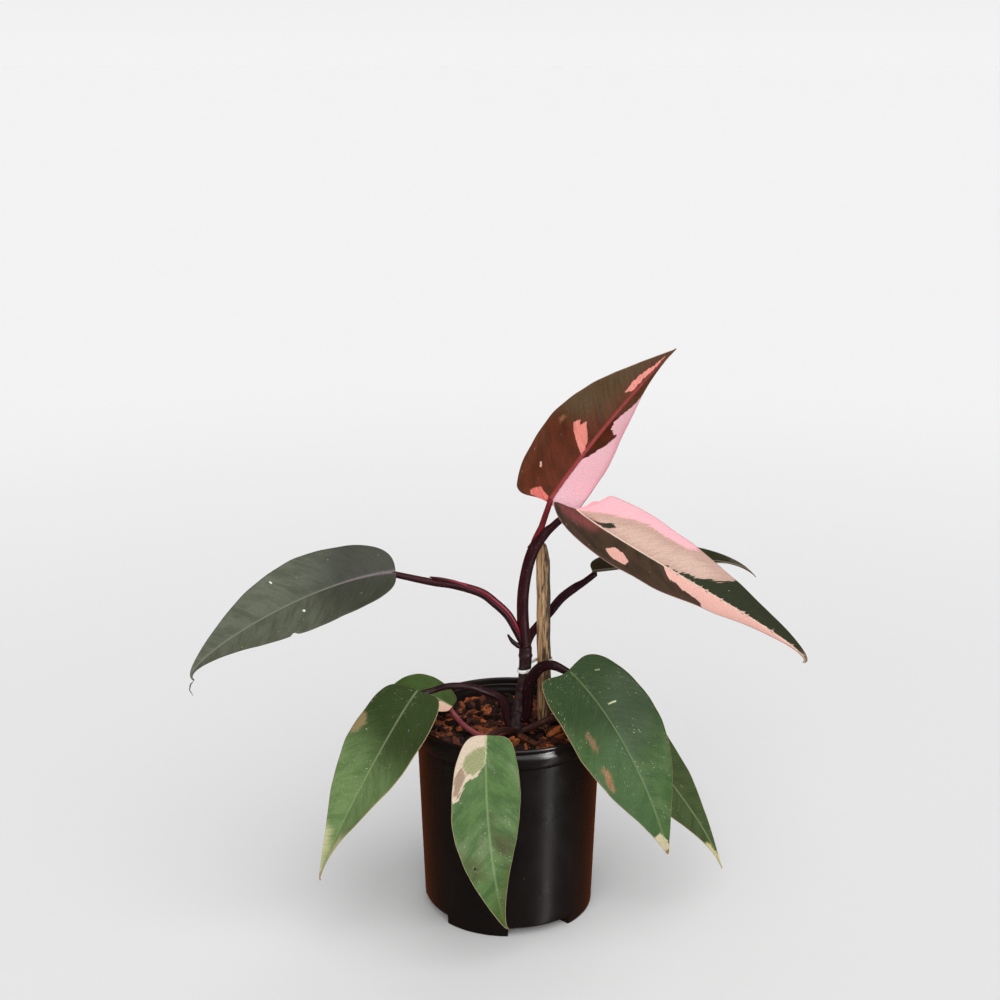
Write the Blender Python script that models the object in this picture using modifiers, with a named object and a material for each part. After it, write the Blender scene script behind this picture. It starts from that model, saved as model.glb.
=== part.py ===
"""A pink princess philodendron in a black nursery pot, with its mix, stake and tie.

Every length below is in millimetres and is turned into metres where a mesh is made.
Each leaf is a blade that hangs on its own petiole. The nine petioles leave one short stem.
"""
import math
import random

import bmesh
import bpy
import numpy as np
from mathutils import Matrix, Vector

MM = 0.001
GAP = 0.3

# Pot: a 6 inch nursery pot, tapered, with a band round the rim
POT_HEIGHT = 162.0
POT_RIM_RADIUS = 76.0
POT_BASE_RADIUS = 68.0
POT_WALL = 1.5
BAND_BOTTOM = 146.0
BODY_TOP_RADIUS = 73.3
POT_STEPS = 44

# Channels under the pot: four sectors raised off the ground, with a drain hole in each
CHANNEL_COUNT = 4
CHANNEL_FIRST_ANGLE = -67.9
CHANNEL_HALF_ANGLE = 22.5
CHANNEL_INNER_RADIUS = 32.0
CHANNEL_HEIGHT = 7.0
DRAIN_RADIUS = 5.0
DRAIN_AT_RADIUS = 50.0

# Potting mix and the bark chips on it
MIX_TOP = 148.0
CHIP_COUNT = 56
CHIP_FIELD_RADIUS = 61.0
CHIP_SEED = 11

# Stake: split bamboo beside the stem, leaning slightly
STAKE_SIZE = (11.5, 6.5, 262.0)
STAKE_FOOT = (30.5, 7.2, 40.0)
STAKE_TOP = (26.6, 4.2, 302.0)
STAKE_HOLE_CLEARANCE = 0.6

# Tie
TIE_HEIGHT = 203.5
TIE_WIDTH = 3.0
TIE_THICKNESS = 0.8

# Main stem, foot to top, as points and radii
STEM_POINTS = [(5, -13, 114), (5, -13, 148), (6, -13, 161), (9, -12, 177), (12, -11, 194), (13, -10, 210), (13, -9, 222)]
STEM_RADII = [5.0, 5.4, 5.2, 5.0, 4.9, 5.0, 5.2]
STEM_NODES = (155.0, 170.0, 187.0, 214.0)
STEM_NODE_RISE = 0.6
STUB_POINTS = [(9, -12, 222), (3, -13, 227), (-1, -13, 233)]
STUB_RADII = [2.2, 1.8, 0.8]

# Petioles: points from the stem to just short of the blade, radii along them with one more for the
# end under the blade's midrib, and what each is cut clear of
PETIOLES = {
    "pink": dict(
        points=[(13, -9, 220), (11, -9, 243), (11, -10, 264), (14, -10, 285), (19, -9, 301),
                (26, -8, 312), (33, -6, 318), (41, -4, 324)],
        radii=[5.0, 4.7, 4.6, 4.5, 4.5, 4.3, 3.0, 2.8, 2.6], clear_of=["stem", "stub"]),
    "top": dict(
        points=[(18, -9, 300), (20, -8, 308), (25, -8, 319), (28, -10.5, 329)],
        radii=[2.6, 2.5, 2.4, 2.3, 2.2], clear_of=["pink"]),
    "left": dict(
        points=[(12, -9, 222), (6, -10, 235), (-1, -11, 248), (-11, -11, 258), (-22, -10, 266),
                (-42, -9, 272), (-61, -7, 274)],
        radii=[2.9, 3.0, 3.1, 3.1, 3.1, 3.1, 2.7, 2.5], clear_of=["stem", "pink", "stub"]),
    "rear": dict(
        points=[(14, -7, 222), (18, 4, 227), (25, 14, 232), (33, 16, 241), (42, 15, 253),
                (53, 15, 262), (60, 14, 267)],
        radii=[3.3, 3.4, 3.4, 3.4, 3.4, 3.3, 2.6, 2.4], clear_of=["stem", "stub", "pink", "stake"]),
    "low_left": dict(
        points=[(3, -14, 156), (-1, -14, 161), (-3, -15, 172), (-8, -16, 181), (-19, -18, 187),
                (-30, -21, 192), (-46, -24, 194), (-60, -25, 190.5)],
        radii=[3.8, 3.8, 3.8, 3.7, 3.6, 3.4, 3.0, 2.9, 2.7], clear_of=["stem"]),
    "small": dict(
        points=[(2, -14, 152), (-12, -22, 152.4), (-21, -27, 153), (-31, -18, 154.5), (-39, -6, 156.5)],
        radii=[2.4, 2.4, 2.3, 2.2, 2.1, 2.0], clear_of=["stem", "low_left"]),
    "front": dict(
        points=[(5, -15, 152), (3, -24, 156), (-3, -42, 165), (-10, -62, 172)],
        radii=[2.9, 2.8, 2.7, 2.6, 2.5], clear_of=["stem", "small"]),
    "low_right": dict(
        points=[(9, -14, 160), (14, -15, 167), (15, -17, 179), (16, -19, 193), (20, -22, 203),
                (26, -26, 211), (35, -31, 214)],
        radii=[3.8, 4.2, 4.3, 4.3, 4.3, 4.3, 3.9, 2.8], clear_of=["stem"]),
    "far_right": dict(
        points=[(7, -13, 151), (17, -12, 154), (29, -11, 159), (44, -7, 164), (62, -1, 168.5),
                (77, 3, 171)],
        radii=[3.0, 3.0, 3.0, 2.8, 2.6, 2.5, 2.4], clear_of=["stem", "low_right"]),
}

# Blades. midrib: four control points of a Bezier curve from the base to the tip. facing: which way
# the upper face looks at the base and at the tip. For the left and right half, seen on the upper
# face with the tip away: half width, fold of the half from flat at the base and tip (degrees),
# added curl to the margin (degrees), how far the basal lobe runs back, where along the blade it
# is widest, and how sharply the tip draws in.
BLADES = {
    "top": dict(
        midrib=[(30, -6, 338), (37, -2, 350), (86, 11, 414), (127, 14, 454)],
        facing=[(-0.16, 0.90, -0.03), (-0.50, 0.90, 0.28)],
        left=dict(width=39, fold=(22, 33), curl=9, lobe=0.06, widest=0.34, tip=1.30),
        right=dict(width=38, fold=(16, 17), curl=5, lobe=0.06, widest=0.37, tip=1.06)),
    "pink": dict(
        midrib=[(52, -2, 332), (72, -25, 316), (248, -43, 231), (224, -66, 230)],
        facing=[(0.57, -0.75, 0.40), (0.38, -0.80, 1.07)],
        left=dict(width=42, fold=(-6, -13), curl=-11, lobe=0.09, widest=0.33, tip=0.78),
        right=dict(width=42, fold=(14, 20), curl=25, lobe=0.08, widest=0.35, tip=1.35)),
    "left": dict(
        midrib=[(-88, -6, 282), (-155, -19, 282), (-262, -29, 210), (-242, -44, 207)],
        facing=[(-0.05, -0.75, 0.75), (-0.37, -0.80, 0.52)],
        left=dict(width=32, fold=(8, 14), curl=6, lobe=0.01, widest=0.38, tip=1.23),
        right=dict(width=33, fold=(2, 10), curl=1, lobe=0.02, widest=0.38, tip=1.23),
        drip=[(-244.5, -45, 203.5), (-245.5, -45, 199), (-243, -45, 194.5)]),
    "rear": dict(
        midrib=[(66, 14, 277), (112, 23, 278), (182, 38, 286), (201, 46, 261)],
        facing=[(-0.09, -0.15, 1.06), (0.02, -0.15, 0.99)],
        left=dict(width=29, fold=(1, 9), curl=-2, lobe=0.02, widest=0.36, tip=1.33),
        right=dict(width=30, fold=(23, 6), curl=7, lobe=0.03, widest=0.36, tip=1.33)),
    "low_left": dict(
        midrib=[(-71, -30, 193), (-90, -53, 177), (-158, -70, 42), (-147, -62, 47)],
        facing=[(-0.54, -0.90, 0.32), (-0.85, -0.95, 0.31)],
        left=dict(width=37, fold=(-2, 40), curl=18, lobe=0.05, widest=0.35, tip=1.37),
        right=dict(width=36, fold=(-7, 3), curl=-6, lobe=0.04, widest=0.35, tip=1.37)),
    "small": dict(
        midrib=[(-45, 2, 166), (-66, 8, 176), (-83, 8, 190), (-111, 14, 142)],
        facing=[(0.20, -0.60, 1.10), (-0.41, -0.60, 0.65)],
        left=dict(width=25, fold=(24, 4), curl=11, lobe=0.04, widest=0.37, tip=1.37),
        right=dict(width=23, fold=(-14, -1), curl=-11, lobe=0.04, widest=0.37, tip=1.37)),
    "front": dict(
        midrib=[(-17, -80, 177), (-21, -103, 112), (-4, -116, 27), (0, -104, 29)],
        facing=[(0.27, -0.90, 0.40), (0.25, -1.00, 0.12)],
        left=dict(width=27, fold=(4, -9), curl=-8, lobe=0.04, widest=0.33, tip=1.46),
        right=dict(width=30, fold=(16, 2), curl=4, lobe=0.03, widest=0.38, tip=1.17)),
    "low_right": dict(
        midrib=[(46, -38, 213), (105, -66, 163), (127, -76, 59), (122, -76, 78)],
        facing=[(0.32, -0.85, 0.30), (0.52, -0.95, 0.38)],
        left=dict(width=39, fold=(3, -6), curl=-5, lobe=0.04, widest=0.40, tip=1.20),
        right=dict(width=41, fold=(10, 10), curl=6, lobe=0.11, widest=0.40, tip=1.20)),
    "far_right": dict(
        midrib=[(88, -4, 175), (101, -10, 132), (150, -14, 95), (174, -16, 32)],
        facing=[(0.41, -0.60, 0.78), (0.70, -0.80, 0.39)],
        left=dict(width=32, fold=(-5, -7), curl=-11, lobe=0.06, widest=0.35, tip=1.46),
        right=dict(width=33, fold=(4, 11), curl=4, lobe=0.06, widest=0.35, tip=1.46)),
}
BLADE_THICKNESS = 0.8
MIDRIB_THICKNESS = 2.2
MARGIN_TIP_WIDTH = 0.5
SEAT_LENGTH = 2.0
ROWS = 19
COLUMNS_PER_HALF = 4
DRIP_ROWS = 5

# Colour, roughness
FINISHES = {
    "pot plastic": ((0.012, 0.011, 0.012), 0.42),
    "bark mix": ((0.10, 0.035, 0.016), 0.9),
    "stake wood": ((0.42, 0.27, 0.14), 0.75),
    "tie paper": ((0.85, 0.85, 0.85), 0.6),
    "stem skin": ((0.055, 0.02, 0.03), 0.45),
    "pink leaf": ((0.75, 0.36, 0.36), 0.5),
    "green leaf": ((0.08, 0.14, 0.05), 0.5),
}
PINK_BLADES = ("top", "pink")


def clear_scene():
    for old in list(bpy.data.objects):
        bpy.data.objects.remove(old, do_unlink=True)


def new_collection(name):
    collection = bpy.data.collections.new(name)
    bpy.context.scene.collection.children.link(collection)
    return collection


def material(name):
    colour, roughness = FINISHES[name]
    made = bpy.data.materials.get(name) or bpy.data.materials.new(name)
    made.use_nodes = True
    shader = made.node_tree.nodes["Principled BSDF"]
    shader.inputs["Base Color"].default_value = (*colour, 1.0)
    shader.inputs["Roughness"].default_value = roughness
    return made


def place(obj, collection, finish=None):
    """Put an object in its collection, and give it its finish or make it a cutter."""
    for old in list(obj.users_collection):
        old.objects.unlink(obj)
    collection.objects.link(obj)
    if finish:
        obj.data.materials.clear()
        obj.data.materials.append(material(finish))
    else:
        obj.hide_render = True
        obj.display_type = "WIRE"
    return obj


def mesh_object(name, shape, collection, finish=None):
    mesh = bpy.data.meshes.new(name)
    shape.to_mesh(mesh)
    shape.free()
    return place(bpy.data.objects.new(name, mesh), collection, finish)


def as_mesh(obj, collection, finish=None):
    """Turn a curve into a closed mesh of its own, its caps welded to its sides."""
    evaluated = obj.evaluated_get(bpy.context.evaluated_depsgraph_get())
    mesh = bpy.data.meshes.new_from_object(evaluated)
    shape = bmesh.new()
    shape.from_mesh(mesh)
    bmesh.ops.remove_doubles(shape, verts=shape.verts, dist=0.00001)
    bmesh.ops.recalc_face_normals(shape, faces=shape.faces)
    shape.to_mesh(mesh)
    shape.free()
    name = obj.name
    matrix = obj.matrix_world.copy()
    bpy.data.objects.remove(obj, do_unlink=True)
    solid = bpy.data.objects.new(name, mesh)
    solid.matrix_world = matrix
    mesh.shade_smooth()
    return place(solid, collection, finish)


def boolean(target, other, operation):
    modifier = target.modifiers.new(f"{operation.lower()} {other.name}", "BOOLEAN")
    modifier.operation = operation
    modifier.solver = "EXACT"
    modifier.object = other
    return modifier


def smooth_path(points, values, step):
    """Even samples of a Catmull-Rom curve through the points, with values carried along."""
    knots = np.array(points, float)
    ends = np.vstack([2 * knots[0] - knots[1], knots, 2 * knots[-1] - knots[-2]])
    samples, carried = [], []
    for i in range(len(knots) - 1):
        a, b, c, d = ends[i:i + 4]
        count = max(2, round(np.linalg.norm(c - b) / step))
        for t in np.arange(count) / count:
            samples.append(0.5 * (2 * b + (c - a) * t + (2 * a - 5 * b + 4 * c - d) * t ** 2
                                  + (3 * b - a - 3 * c + d) * t ** 3))
            carried.append(values[i] * (1 - t) + values[i + 1] * t)
    samples.append(knots[-1])
    carried.append(values[-1])
    return samples, carried


def tube(name, points, radii, collection, finish=None, grow=0.0, step=8.0):
    """A round tube of changing radius along a smooth path, closed at both ends."""
    path, widths = smooth_path(points, radii, step)
    for end, inner in ((0, 1), (-1, -2)):
        outward = path[end] - path[inner]
        path[end] = path[end] + outward / np.linalg.norm(outward) * grow
    data = bpy.data.curves.new(name, "CURVE")
    data.dimensions = "3D"
    data.bevel_depth = MM
    data.bevel_resolution = 2
    data.use_fill_caps = True
    spline = data.splines.new("POLY")
    spline.points.add(len(path) - 1)
    for point, place_at, width in zip(spline.points, path, widths):
        point.co = (*(place_at * MM), 1.0)
        point.radius = width + grow
    obj = bpy.data.objects.new(name, data)
    bpy.context.scene.collection.objects.link(obj)
    bpy.context.view_layer.update()
    return as_mesh(obj, collection, finish)


def turned(name, profile, collection, finish=None):
    """A solid of revolution about Z. The profile is listed from the bottom up its outer side."""
    shape = bmesh.new()
    previous = None
    for radius, height in reversed(profile):
        vertex = shape.verts.new((radius * MM, 0.0, height * MM))
        if previous:
            shape.edges.new((previous, vertex))
        previous = vertex
    obj = mesh_object(name, shape, collection, finish)
    screw = obj.modifiers.new("turn", "SCREW")
    screw.steps = POT_STEPS
    screw.render_steps = POT_STEPS
    screw.use_merge_vertices = True
    screw.merge_threshold = 0.00001
    return obj


def sector(name, middle, half_angle, inner, outer, low, high, collection):
    """A block with the plan of a ring's sector, used to raise and cut the pot's floor."""
    data = bpy.data.curves.new(name, "CURVE")
    data.dimensions = "2D"
    data.fill_mode = "BOTH"
    data.extrude = (high - low) / 2 * MM
    steps = 9
    angles = [math.radians(middle + half_angle * (2 * i / (steps - 1) - 1)) for i in range(steps)]
    ring = [(outer, a) for a in angles] + [(inner, a) for a in reversed(angles)]
    spline = data.splines.new("POLY")
    spline.points.add(len(ring) - 1)
    spline.use_cyclic_u = True
    for point, (radius, angle) in zip(spline.points, ring):
        point.co = (radius * math.cos(angle) * MM, radius * math.sin(angle) * MM, 0.0, 1.0)
    obj = bpy.data.objects.new(name, data)
    obj.location.z = (high + low) / 2 * MM
    bpy.context.scene.collection.objects.link(obj)
    bpy.context.view_layer.update()
    return as_mesh(obj, collection)


def cylinder(name, radius, low, high, at, collection):
    shape = bmesh.new()
    bmesh.ops.create_cone(shape, cap_ends=True, segments=20, radius1=radius * MM, radius2=radius * MM,
                          depth=(high - low) * MM)
    obj = mesh_object(name, shape, collection)
    obj.location = (at[0] * MM, at[1] * MM, (low + high) / 2 * MM)
    return obj


def channels(name, grow, low, high, outer, collection):
    """The four sectors under the pot, grown sideways and inwards by a wall or a gap."""
    blocks = []
    for i in range(CHANNEL_COUNT):
        middle = CHANNEL_FIRST_ANGLE + i * 360.0 / CHANNEL_COUNT
        half = CHANNEL_HALF_ANGLE + math.degrees(grow / CHANNEL_INNER_RADIUS)
        blocks.append(sector(f"{name} {i + 1}", middle, half, CHANNEL_INNER_RADIUS - grow, outer,
                             low, high, collection))
    return blocks


def pot_radius(height):
    """Outer radius of the tapered body at a height."""
    return POT_BASE_RADIUS + (BODY_TOP_RADIUS - POT_BASE_RADIUS) * height / BAND_BOTTOM


def make_pot(parts, cutters):
    """One moulded shell: tapered wall, stepped rim band with a lip bead, and a channelled floor."""
    rim = POT_RIM_RADIUS
    inside = [(pot_radius(z) - POT_WALL, z) for z in (BAND_BOTTOM, POT_WALL)]
    profile = [
        (0.0, 0.0), (POT_BASE_RADIUS - 1.0, 0.0), (POT_BASE_RADIUS, 1.0),
        (pot_radius(BAND_BOTTOM - 2.5), BAND_BOTTOM - 2.5), (pot_radius(BAND_BOTTOM), BAND_BOTTOM - 0.8),
        (rim - 0.9, BAND_BOTTOM), (rim - 0.3, BAND_BOTTOM + 1.0), (rim, BAND_BOTTOM + 2.0),
        (rim, POT_HEIGHT - 5.4), (rim - 1.0, POT_HEIGHT - 4.8), (rim - 1.0, POT_HEIGHT - 3.4),
        (rim, POT_HEIGHT - 2.8), (rim, POT_HEIGHT - 0.8), (rim - 0.8, POT_HEIGHT),
        (rim - 2.2, POT_HEIGHT), (rim - 2.6, POT_HEIGHT - 3.0), (rim - 3.0, POT_HEIGHT - 9.0),
        *inside, (0.0, POT_WALL)]
    pot = turned("nursery_pot", profile, parts, "pot plastic")
    top = CHANNEL_HEIGHT + POT_WALL
    reach = pot_radius(CHANNEL_HEIGHT) - POT_WALL / 2
    for block in channels("floor rise", POT_WALL, POT_WALL / 2, top, reach, cutters):
        boolean(pot, block, "UNION")
    for block in channels("floor channel", 0.0, -1.0, CHANNEL_HEIGHT, POT_RIM_RADIUS, cutters):
        boolean(pot, block, "DIFFERENCE")
    for i in range(CHANNEL_COUNT):
        angle = math.radians(CHANNEL_FIRST_ANGLE + i * 360.0 / CHANNEL_COUNT)
        at = (DRAIN_AT_RADIUS * math.cos(angle), DRAIN_AT_RADIUS * math.sin(angle))
        drain = cylinder(f"drain {i + 1}", DRAIN_RADIUS, CHANNEL_HEIGHT - 1.0, top + 1.0, at, cutters)
        boolean(pot, drain, "DIFFERENCE")
    return pot


def distance_to_paths(x, y, below):
    """Shortest plan distance from a point to any stem or petiole lower than a height."""
    paths = [smooth_path(STEM_POINTS, STEM_RADII, 4.0)[0]]
    paths += [smooth_path(p["points"], p["radii"], 4.0)[0] for p in PETIOLES.values()]
    paths.append([np.array(STAKE_FOOT) * (1 - t) + np.array(STAKE_TOP) * t for t in (0.39, 0.42, 0.45)])
    near = [math.hypot(x - q[0], y - q[1]) for path in paths for q in path if q[2] < below]
    return min(near)


def make_mix(parts, cutters):
    """The filling, a turned block that stands clear of the pot, with bark chips fused to its top."""
    inner = [(pot_radius(z) - POT_WALL - GAP, z) for z in (POT_WALL + GAP, 142.0, 146.5)]
    profile = [(0.0, POT_WALL + GAP), *inner, (58.0, 147.6), (44.0, MIX_TOP + 0.4), (24.0, MIX_TOP - 0.4),
               (0.0, MIX_TOP)]
    mix = turned("potting_mix", profile, parts, "bark mix")
    top = CHANNEL_HEIGHT + POT_WALL + GAP
    for block in channels("mix channel", POT_WALL + GAP, 0.0, top, POT_RIM_RADIUS, cutters):
        boolean(mix, block, "DIFFERENCE")

    rng = random.Random(CHIP_SEED)
    chips = new_collection("Bark chips")
    placed = []
    while len(placed) < CHIP_COUNT:
        radius = CHIP_FIELD_RADIUS * math.sqrt(rng.random())
        turn = rng.uniform(0, 2 * math.pi)
        x, y = radius * math.cos(turn), radius * math.sin(turn)
        size = Vector((rng.uniform(5.0, 8.5), rng.uniform(3.0, 5.0), rng.uniform(2.0, 3.4)))
        if distance_to_paths(x, y, 163.0) < size.x + 4.0:
            continue
        if any(math.hypot(x - a, y - b) < 6.0 for a, b in placed):
            continue
        shape = bmesh.new()
        bmesh.ops.create_cube(shape, size=2.0)
        for vertex in shape.verts:
            jitter = Vector((rng.uniform(-0.25, 0.25) for _ in range(3)))
            vertex.co = (vertex.co + jitter) * size * MM
        chip = mesh_object(f"chip {len(placed) + 1}", shape, chips)
        lean = 22.0 if len(placed) % 6 else 55.0
        tilt = Matrix.Rotation(math.radians(rng.uniform(-lean, lean)), 4, "Y")
        chip.matrix_world = (Matrix.Translation(Vector((x, y, MIX_TOP + rng.uniform(-0.6, 1.2))) * MM)
                             @ Matrix.Rotation(rng.uniform(0, math.pi), 4, "Z") @ tilt)
        placed.append((x, y))
    join = mix.modifiers.new("bark chips", "BOOLEAN")
    join.operation = "UNION"
    join.solver = "EXACT"
    join.operand_type = "COLLECTION"
    join.collection = chips

    hole = tube("stem hole", STEM_POINTS[:4], STEM_RADII[:4], cutters, grow=STEM_NODE_RISE + GAP)
    boolean(mix, hole, "DIFFERENCE")
    boolean(mix, make_stake_block("stake hole", STAKE_HOLE_CLEARANCE, cutters), "DIFFERENCE")
    return mix


def make_stake_block(name, grow, collection, finish=None):
    """The stake's straight, slightly leaning block. Its top is pinched to a blunt point."""
    width, depth, _ = STAKE_SIZE
    foot, top = Vector(STAKE_FOOT), Vector(STAKE_TOP)
    axis = top - foot
    half_length = axis.length / 2
    shape = bmesh.new()
    bmesh.ops.create_cube(shape, size=2.0)
    for vertex in shape.verts:
        vertex.co.x *= width / 2 + grow
        vertex.co.y *= depth / 2 + grow
        vertex.co.z *= half_length + grow
    bmesh.ops.scale(shape, vec=Vector((MM, MM, MM)), verts=shape.verts)
    obj = mesh_object(name, shape, collection, finish)
    obj.matrix_world = (Matrix.Translation((foot + top) / 2 * MM)
                        @ Vector((0, 0, 1)).rotation_difference(axis).to_matrix().to_4x4())
    return obj


def make_stake(parts):
    stake = make_stake_block("stake", 0.0, parts, "stake wood")
    bevel = stake.modifiers.new("worn edges", "BEVEL")
    bevel.width = 2.2 * MM
    bevel.segments = 2
    return stake


def make_stem(parts, cutters):
    """The stem with a raised ring at each old node and one dried stub fused to its side."""
    path, widths = smooth_path(STEM_POINTS, STEM_RADII, 5.0)
    ringed = [w + STEM_NODE_RISE * max(math.exp(-((p[2] - z) / 3.0) ** 2) for z in STEM_NODES)
              for p, w in zip(path, widths)]
    stem = tube("main_stem", path, ringed, parts, "stem skin", step=20.0)
    boolean(stem, tube("stub", STUB_POINTS, STUB_RADII, cutters), "UNION")
    return stem


def petiole_end(blade, petiole):
    """Where a petiole stops: just past the blade's base, close under its raised midrib."""
    points = np.array(blade["midrib"], float)
    forward = bezier_slope(points, np.zeros(1))[0]
    up = np.array(blade["facing"][0], float)
    up -= forward * np.dot(up, forward)
    up /= np.linalg.norm(up)
    approach = points[0] - np.array(petiole["points"][-1], float)
    square_on = np.dot(approach, up) / np.linalg.norm(approach)
    half_depth = petiole["radii"][-1] * math.sqrt(1 - square_on ** 2)
    return tuple(points[0] + forward * SEAT_LENGTH - up * (MIDRIB_THICKNESS + 2 * GAP + half_depth))


def make_petioles(parts, cutters):
    """Leaf stalks, thick where their sheath wraps them, each cut clear of what it leaves."""
    grown = {
        "stem": tube("clear of stem", STEM_POINTS, STEM_RADII, cutters, grow=STEM_NODE_RISE + GAP),
        "stub": tube("clear of stub", STUB_POINTS, STUB_RADII, cutters, grow=GAP),
        "stake": make_stake_block("clear of stake", GAP, cutters),
    }
    for name, petiole in PETIOLES.items():
        route = [*petiole["points"], petiole_end(BLADES[name], petiole)]
        obj = tube(f"petiole_{name}", route, petiole["radii"], parts, "stem skin")
        for other in petiole["clear_of"]:
            boolean(obj, grown[other], "DIFFERENCE")
        grown[name] = tube(f"clear of {name}", route, petiole["radii"], cutters, grow=GAP)


def bezier(points, t):
    a, b, c, d = points
    t = t[..., None]
    return (1 - t) ** 3 * a + 3 * t * (1 - t) ** 2 * b + 3 * t * t * (1 - t) * c + t ** 3 * d


def bezier_slope(points, t):
    a, b, c, d = points
    t = t[..., None]
    slope = (1 - t) ** 2 * (b - a) + 2 * t * (1 - t) * (c - b) + t * t * (d - c)
    return slope / np.linalg.norm(slope, axis=-1, keepdims=True)


def margin(half, along):
    """Flat heart-shaped outline: how far along the midrib and how wide, both as fractions."""
    phase = along ** (math.log(0.5) / math.log(half["widest"]))
    wide = np.sin(np.pi * phase) ** np.where(phase < 0.5, 0.55, half["tip"])
    back = half["lobe"] * along / 0.1 * np.exp(1 - along / 0.1)
    return along - back, wide


def half_blade(blade, half, side, along, across):
    """Points of one half: side is 1 on the left, across runs from the midrib (0) to the margin (1)."""
    points = np.array(blade["midrib"], float)
    table = np.linspace(0, 1, 401)
    steps = np.linalg.norm(np.diff(bezier(points, table), axis=0), axis=1)
    run = np.r_[0, np.cumsum(steps)]
    length = run[-1]

    edge_x, wide = margin(half, along)
    rib_x = np.minimum(along ** 1.05 * 0.97 + 0.03 * along ** 6, along)
    x = rib_x + (edge_x - rib_x) * across ** 1.3
    inside = np.clip(x, 0, 1)
    y = np.maximum(wide * half["width"], MARGIN_TIP_WIDTH * np.minimum(1, along * 4)) * across

    t = np.interp(inside * length, run, table)
    forward = bezier_slope(points, t)
    centre = bezier(points, t) + forward * (np.minimum(x, 0) * length)[..., None]
    k = inside[..., None]
    up = np.array(blade["facing"][0]) * (1 - k) + np.array(blade["facing"][1]) * k
    left = np.cross(up, forward)
    left /= np.linalg.norm(left, axis=-1, keepdims=True)
    up = np.cross(forward, left)

    fold = np.radians(half["fold"][0] + (half["fold"][1] - half["fold"][0]) * inside)
    curl = math.radians(half["curl"])
    bend = fold + curl * across
    level = np.maximum(across, 1e-9) * curl
    out = (np.sin(bend) - np.sin(fold)) / level
    rise = (np.cos(fold) - np.cos(bend)) / level
    return centre + (side * y * out)[..., None] * left + (y * rise)[..., None] * up


def make_blade(name, blade, parts):
    """One blade: a grid bent to the leaf's surface, in triangles, thickened downwards."""
    shape = bmesh.new()
    columns = 2 * COLUMNS_PER_HALF
    bmesh.ops.create_grid(shape, x_segments=columns, y_segments=ROWS, size=1.0)
    rows = list(shape.verts)
    u = np.array([(v.co.y + 1) / 2 for v in rows])
    w = np.array([v.co.x for v in rows])
    along = np.clip(u, 0, 1) ** 1.5
    across = np.abs(w) ** 1.8
    left = half_blade(blade, blade["left"], 1, along, across)
    right = half_blade(blade, blade["right"], -1, along, across)
    for vertex, is_right, a, b in zip(rows, w > 1e-6, left, right):
        vertex.co = Vector(b if is_right else a) * MM

    if "drip" in blade:
        tip = [v for v, height in zip(rows, u) if height > 0.999]
        tip.sort(key=lambda v: w[rows.index(v)])
        previous = Vector(blade["midrib"][3])
        for target in blade["drip"]:
            edges = [e for e in shape.edges if e.verts[0] in tip and e.verts[1] in tip]
            made = bmesh.ops.extrude_edge_only(shape, edges=edges)["geom"]
            tip = [v for v in made if isinstance(v, bmesh.types.BMVert)]
            bmesh.ops.translate(shape, vec=(Vector(target) - previous) * MM, verts=tip)
            previous = Vector(target)

    bmesh.ops.remove_doubles(shape, verts=shape.verts, dist=0.000005)
    bmesh.ops.triangulate(shape, faces=shape.faces)
    obj = mesh_object(f"blade_{name}", shape, parts, "pink leaf" if name in PINK_BLADES else "green leaf")
    rib = bezier(np.array(blade["midrib"], float), np.linspace(0, 0.93, 200)) * MM
    group = obj.vertex_groups.new(name="midrib")
    for vertex in obj.data.vertices:
        distances = np.linalg.norm(rib - np.array(vertex.co), axis=1)
        nearest = int(np.argmin(distances))
        if distances[nearest] < 0.4 * MM:
            group.add([vertex.index], 1.0 - 0.8 * nearest / 200, "REPLACE")
    solid = obj.modifiers.new("thickness", "SOLIDIFY")
    solid.thickness = MIDRIB_THICKNESS * MM
    solid.offset = -1.0
    solid.vertex_group = group.name
    solid.thickness_vertex_group = BLADE_THICKNESS / MIDRIB_THICKNESS
    obj.data.shade_smooth()
    return obj


def make_tie(parts):
    """A flat band drawn round the stem and the stake: the hull of both sections, as a ribbon."""
    stem, widths = smooth_path(STEM_POINTS, STEM_RADII, 4.0)
    level = min(range(len(stem)), key=lambda i: abs(stem[i][2] - TIE_HEIGHT))
    at_stem = stem[level]
    share = (TIE_HEIGHT - STAKE_FOOT[2]) / (STAKE_TOP[2] - STAKE_FOOT[2])
    at_stake = Vector(STAKE_FOOT).lerp(Vector(STAKE_TOP), share)
    reach = widths[level] + 1.5 * GAP
    spots = [(at_stem[0] + reach * math.cos(a), at_stem[1] + reach * math.sin(a))
             for a in np.linspace(0, 2 * math.pi, 25)[:-1]]
    half_x = STAKE_SIZE[0] / 2 + 2 * GAP
    half_y = STAKE_SIZE[1] / 2 + 2 * GAP
    corner = 2.0
    for sx in (-1, 1):
        for sy in (-1, 1):
            spots.append((at_stake.x + sx * half_x, at_stake.y + sy * (half_y - corner)))
            spots.append((at_stake.x + sx * (half_x - corner), at_stake.y + sy * half_y))

    outline = outline_of(spots)

    data = bpy.data.curves.new("twist_tie", "CURVE")
    data.dimensions = "3D"
    data.extrude = TIE_WIDTH / 2 * MM
    spline = data.splines.new("POLY")
    spline.points.add(len(outline) - 1)
    spline.use_cyclic_u = True
    for point, (x, y) in zip(spline.points, outline):
        point.co = (x * MM, y * MM, TIE_HEIGHT * MM, 1.0)
    obj = bpy.data.objects.new("twist_tie", data)
    bpy.context.scene.collection.objects.link(obj)
    bpy.context.view_layer.update()
    tie = as_mesh(obj, parts, "tie paper")
    solid = tie.modifiers.new("thickness", "SOLIDIFY")
    solid.thickness = TIE_THICKNESS * MM
    solid.offset = 1.0
    return tie


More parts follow.
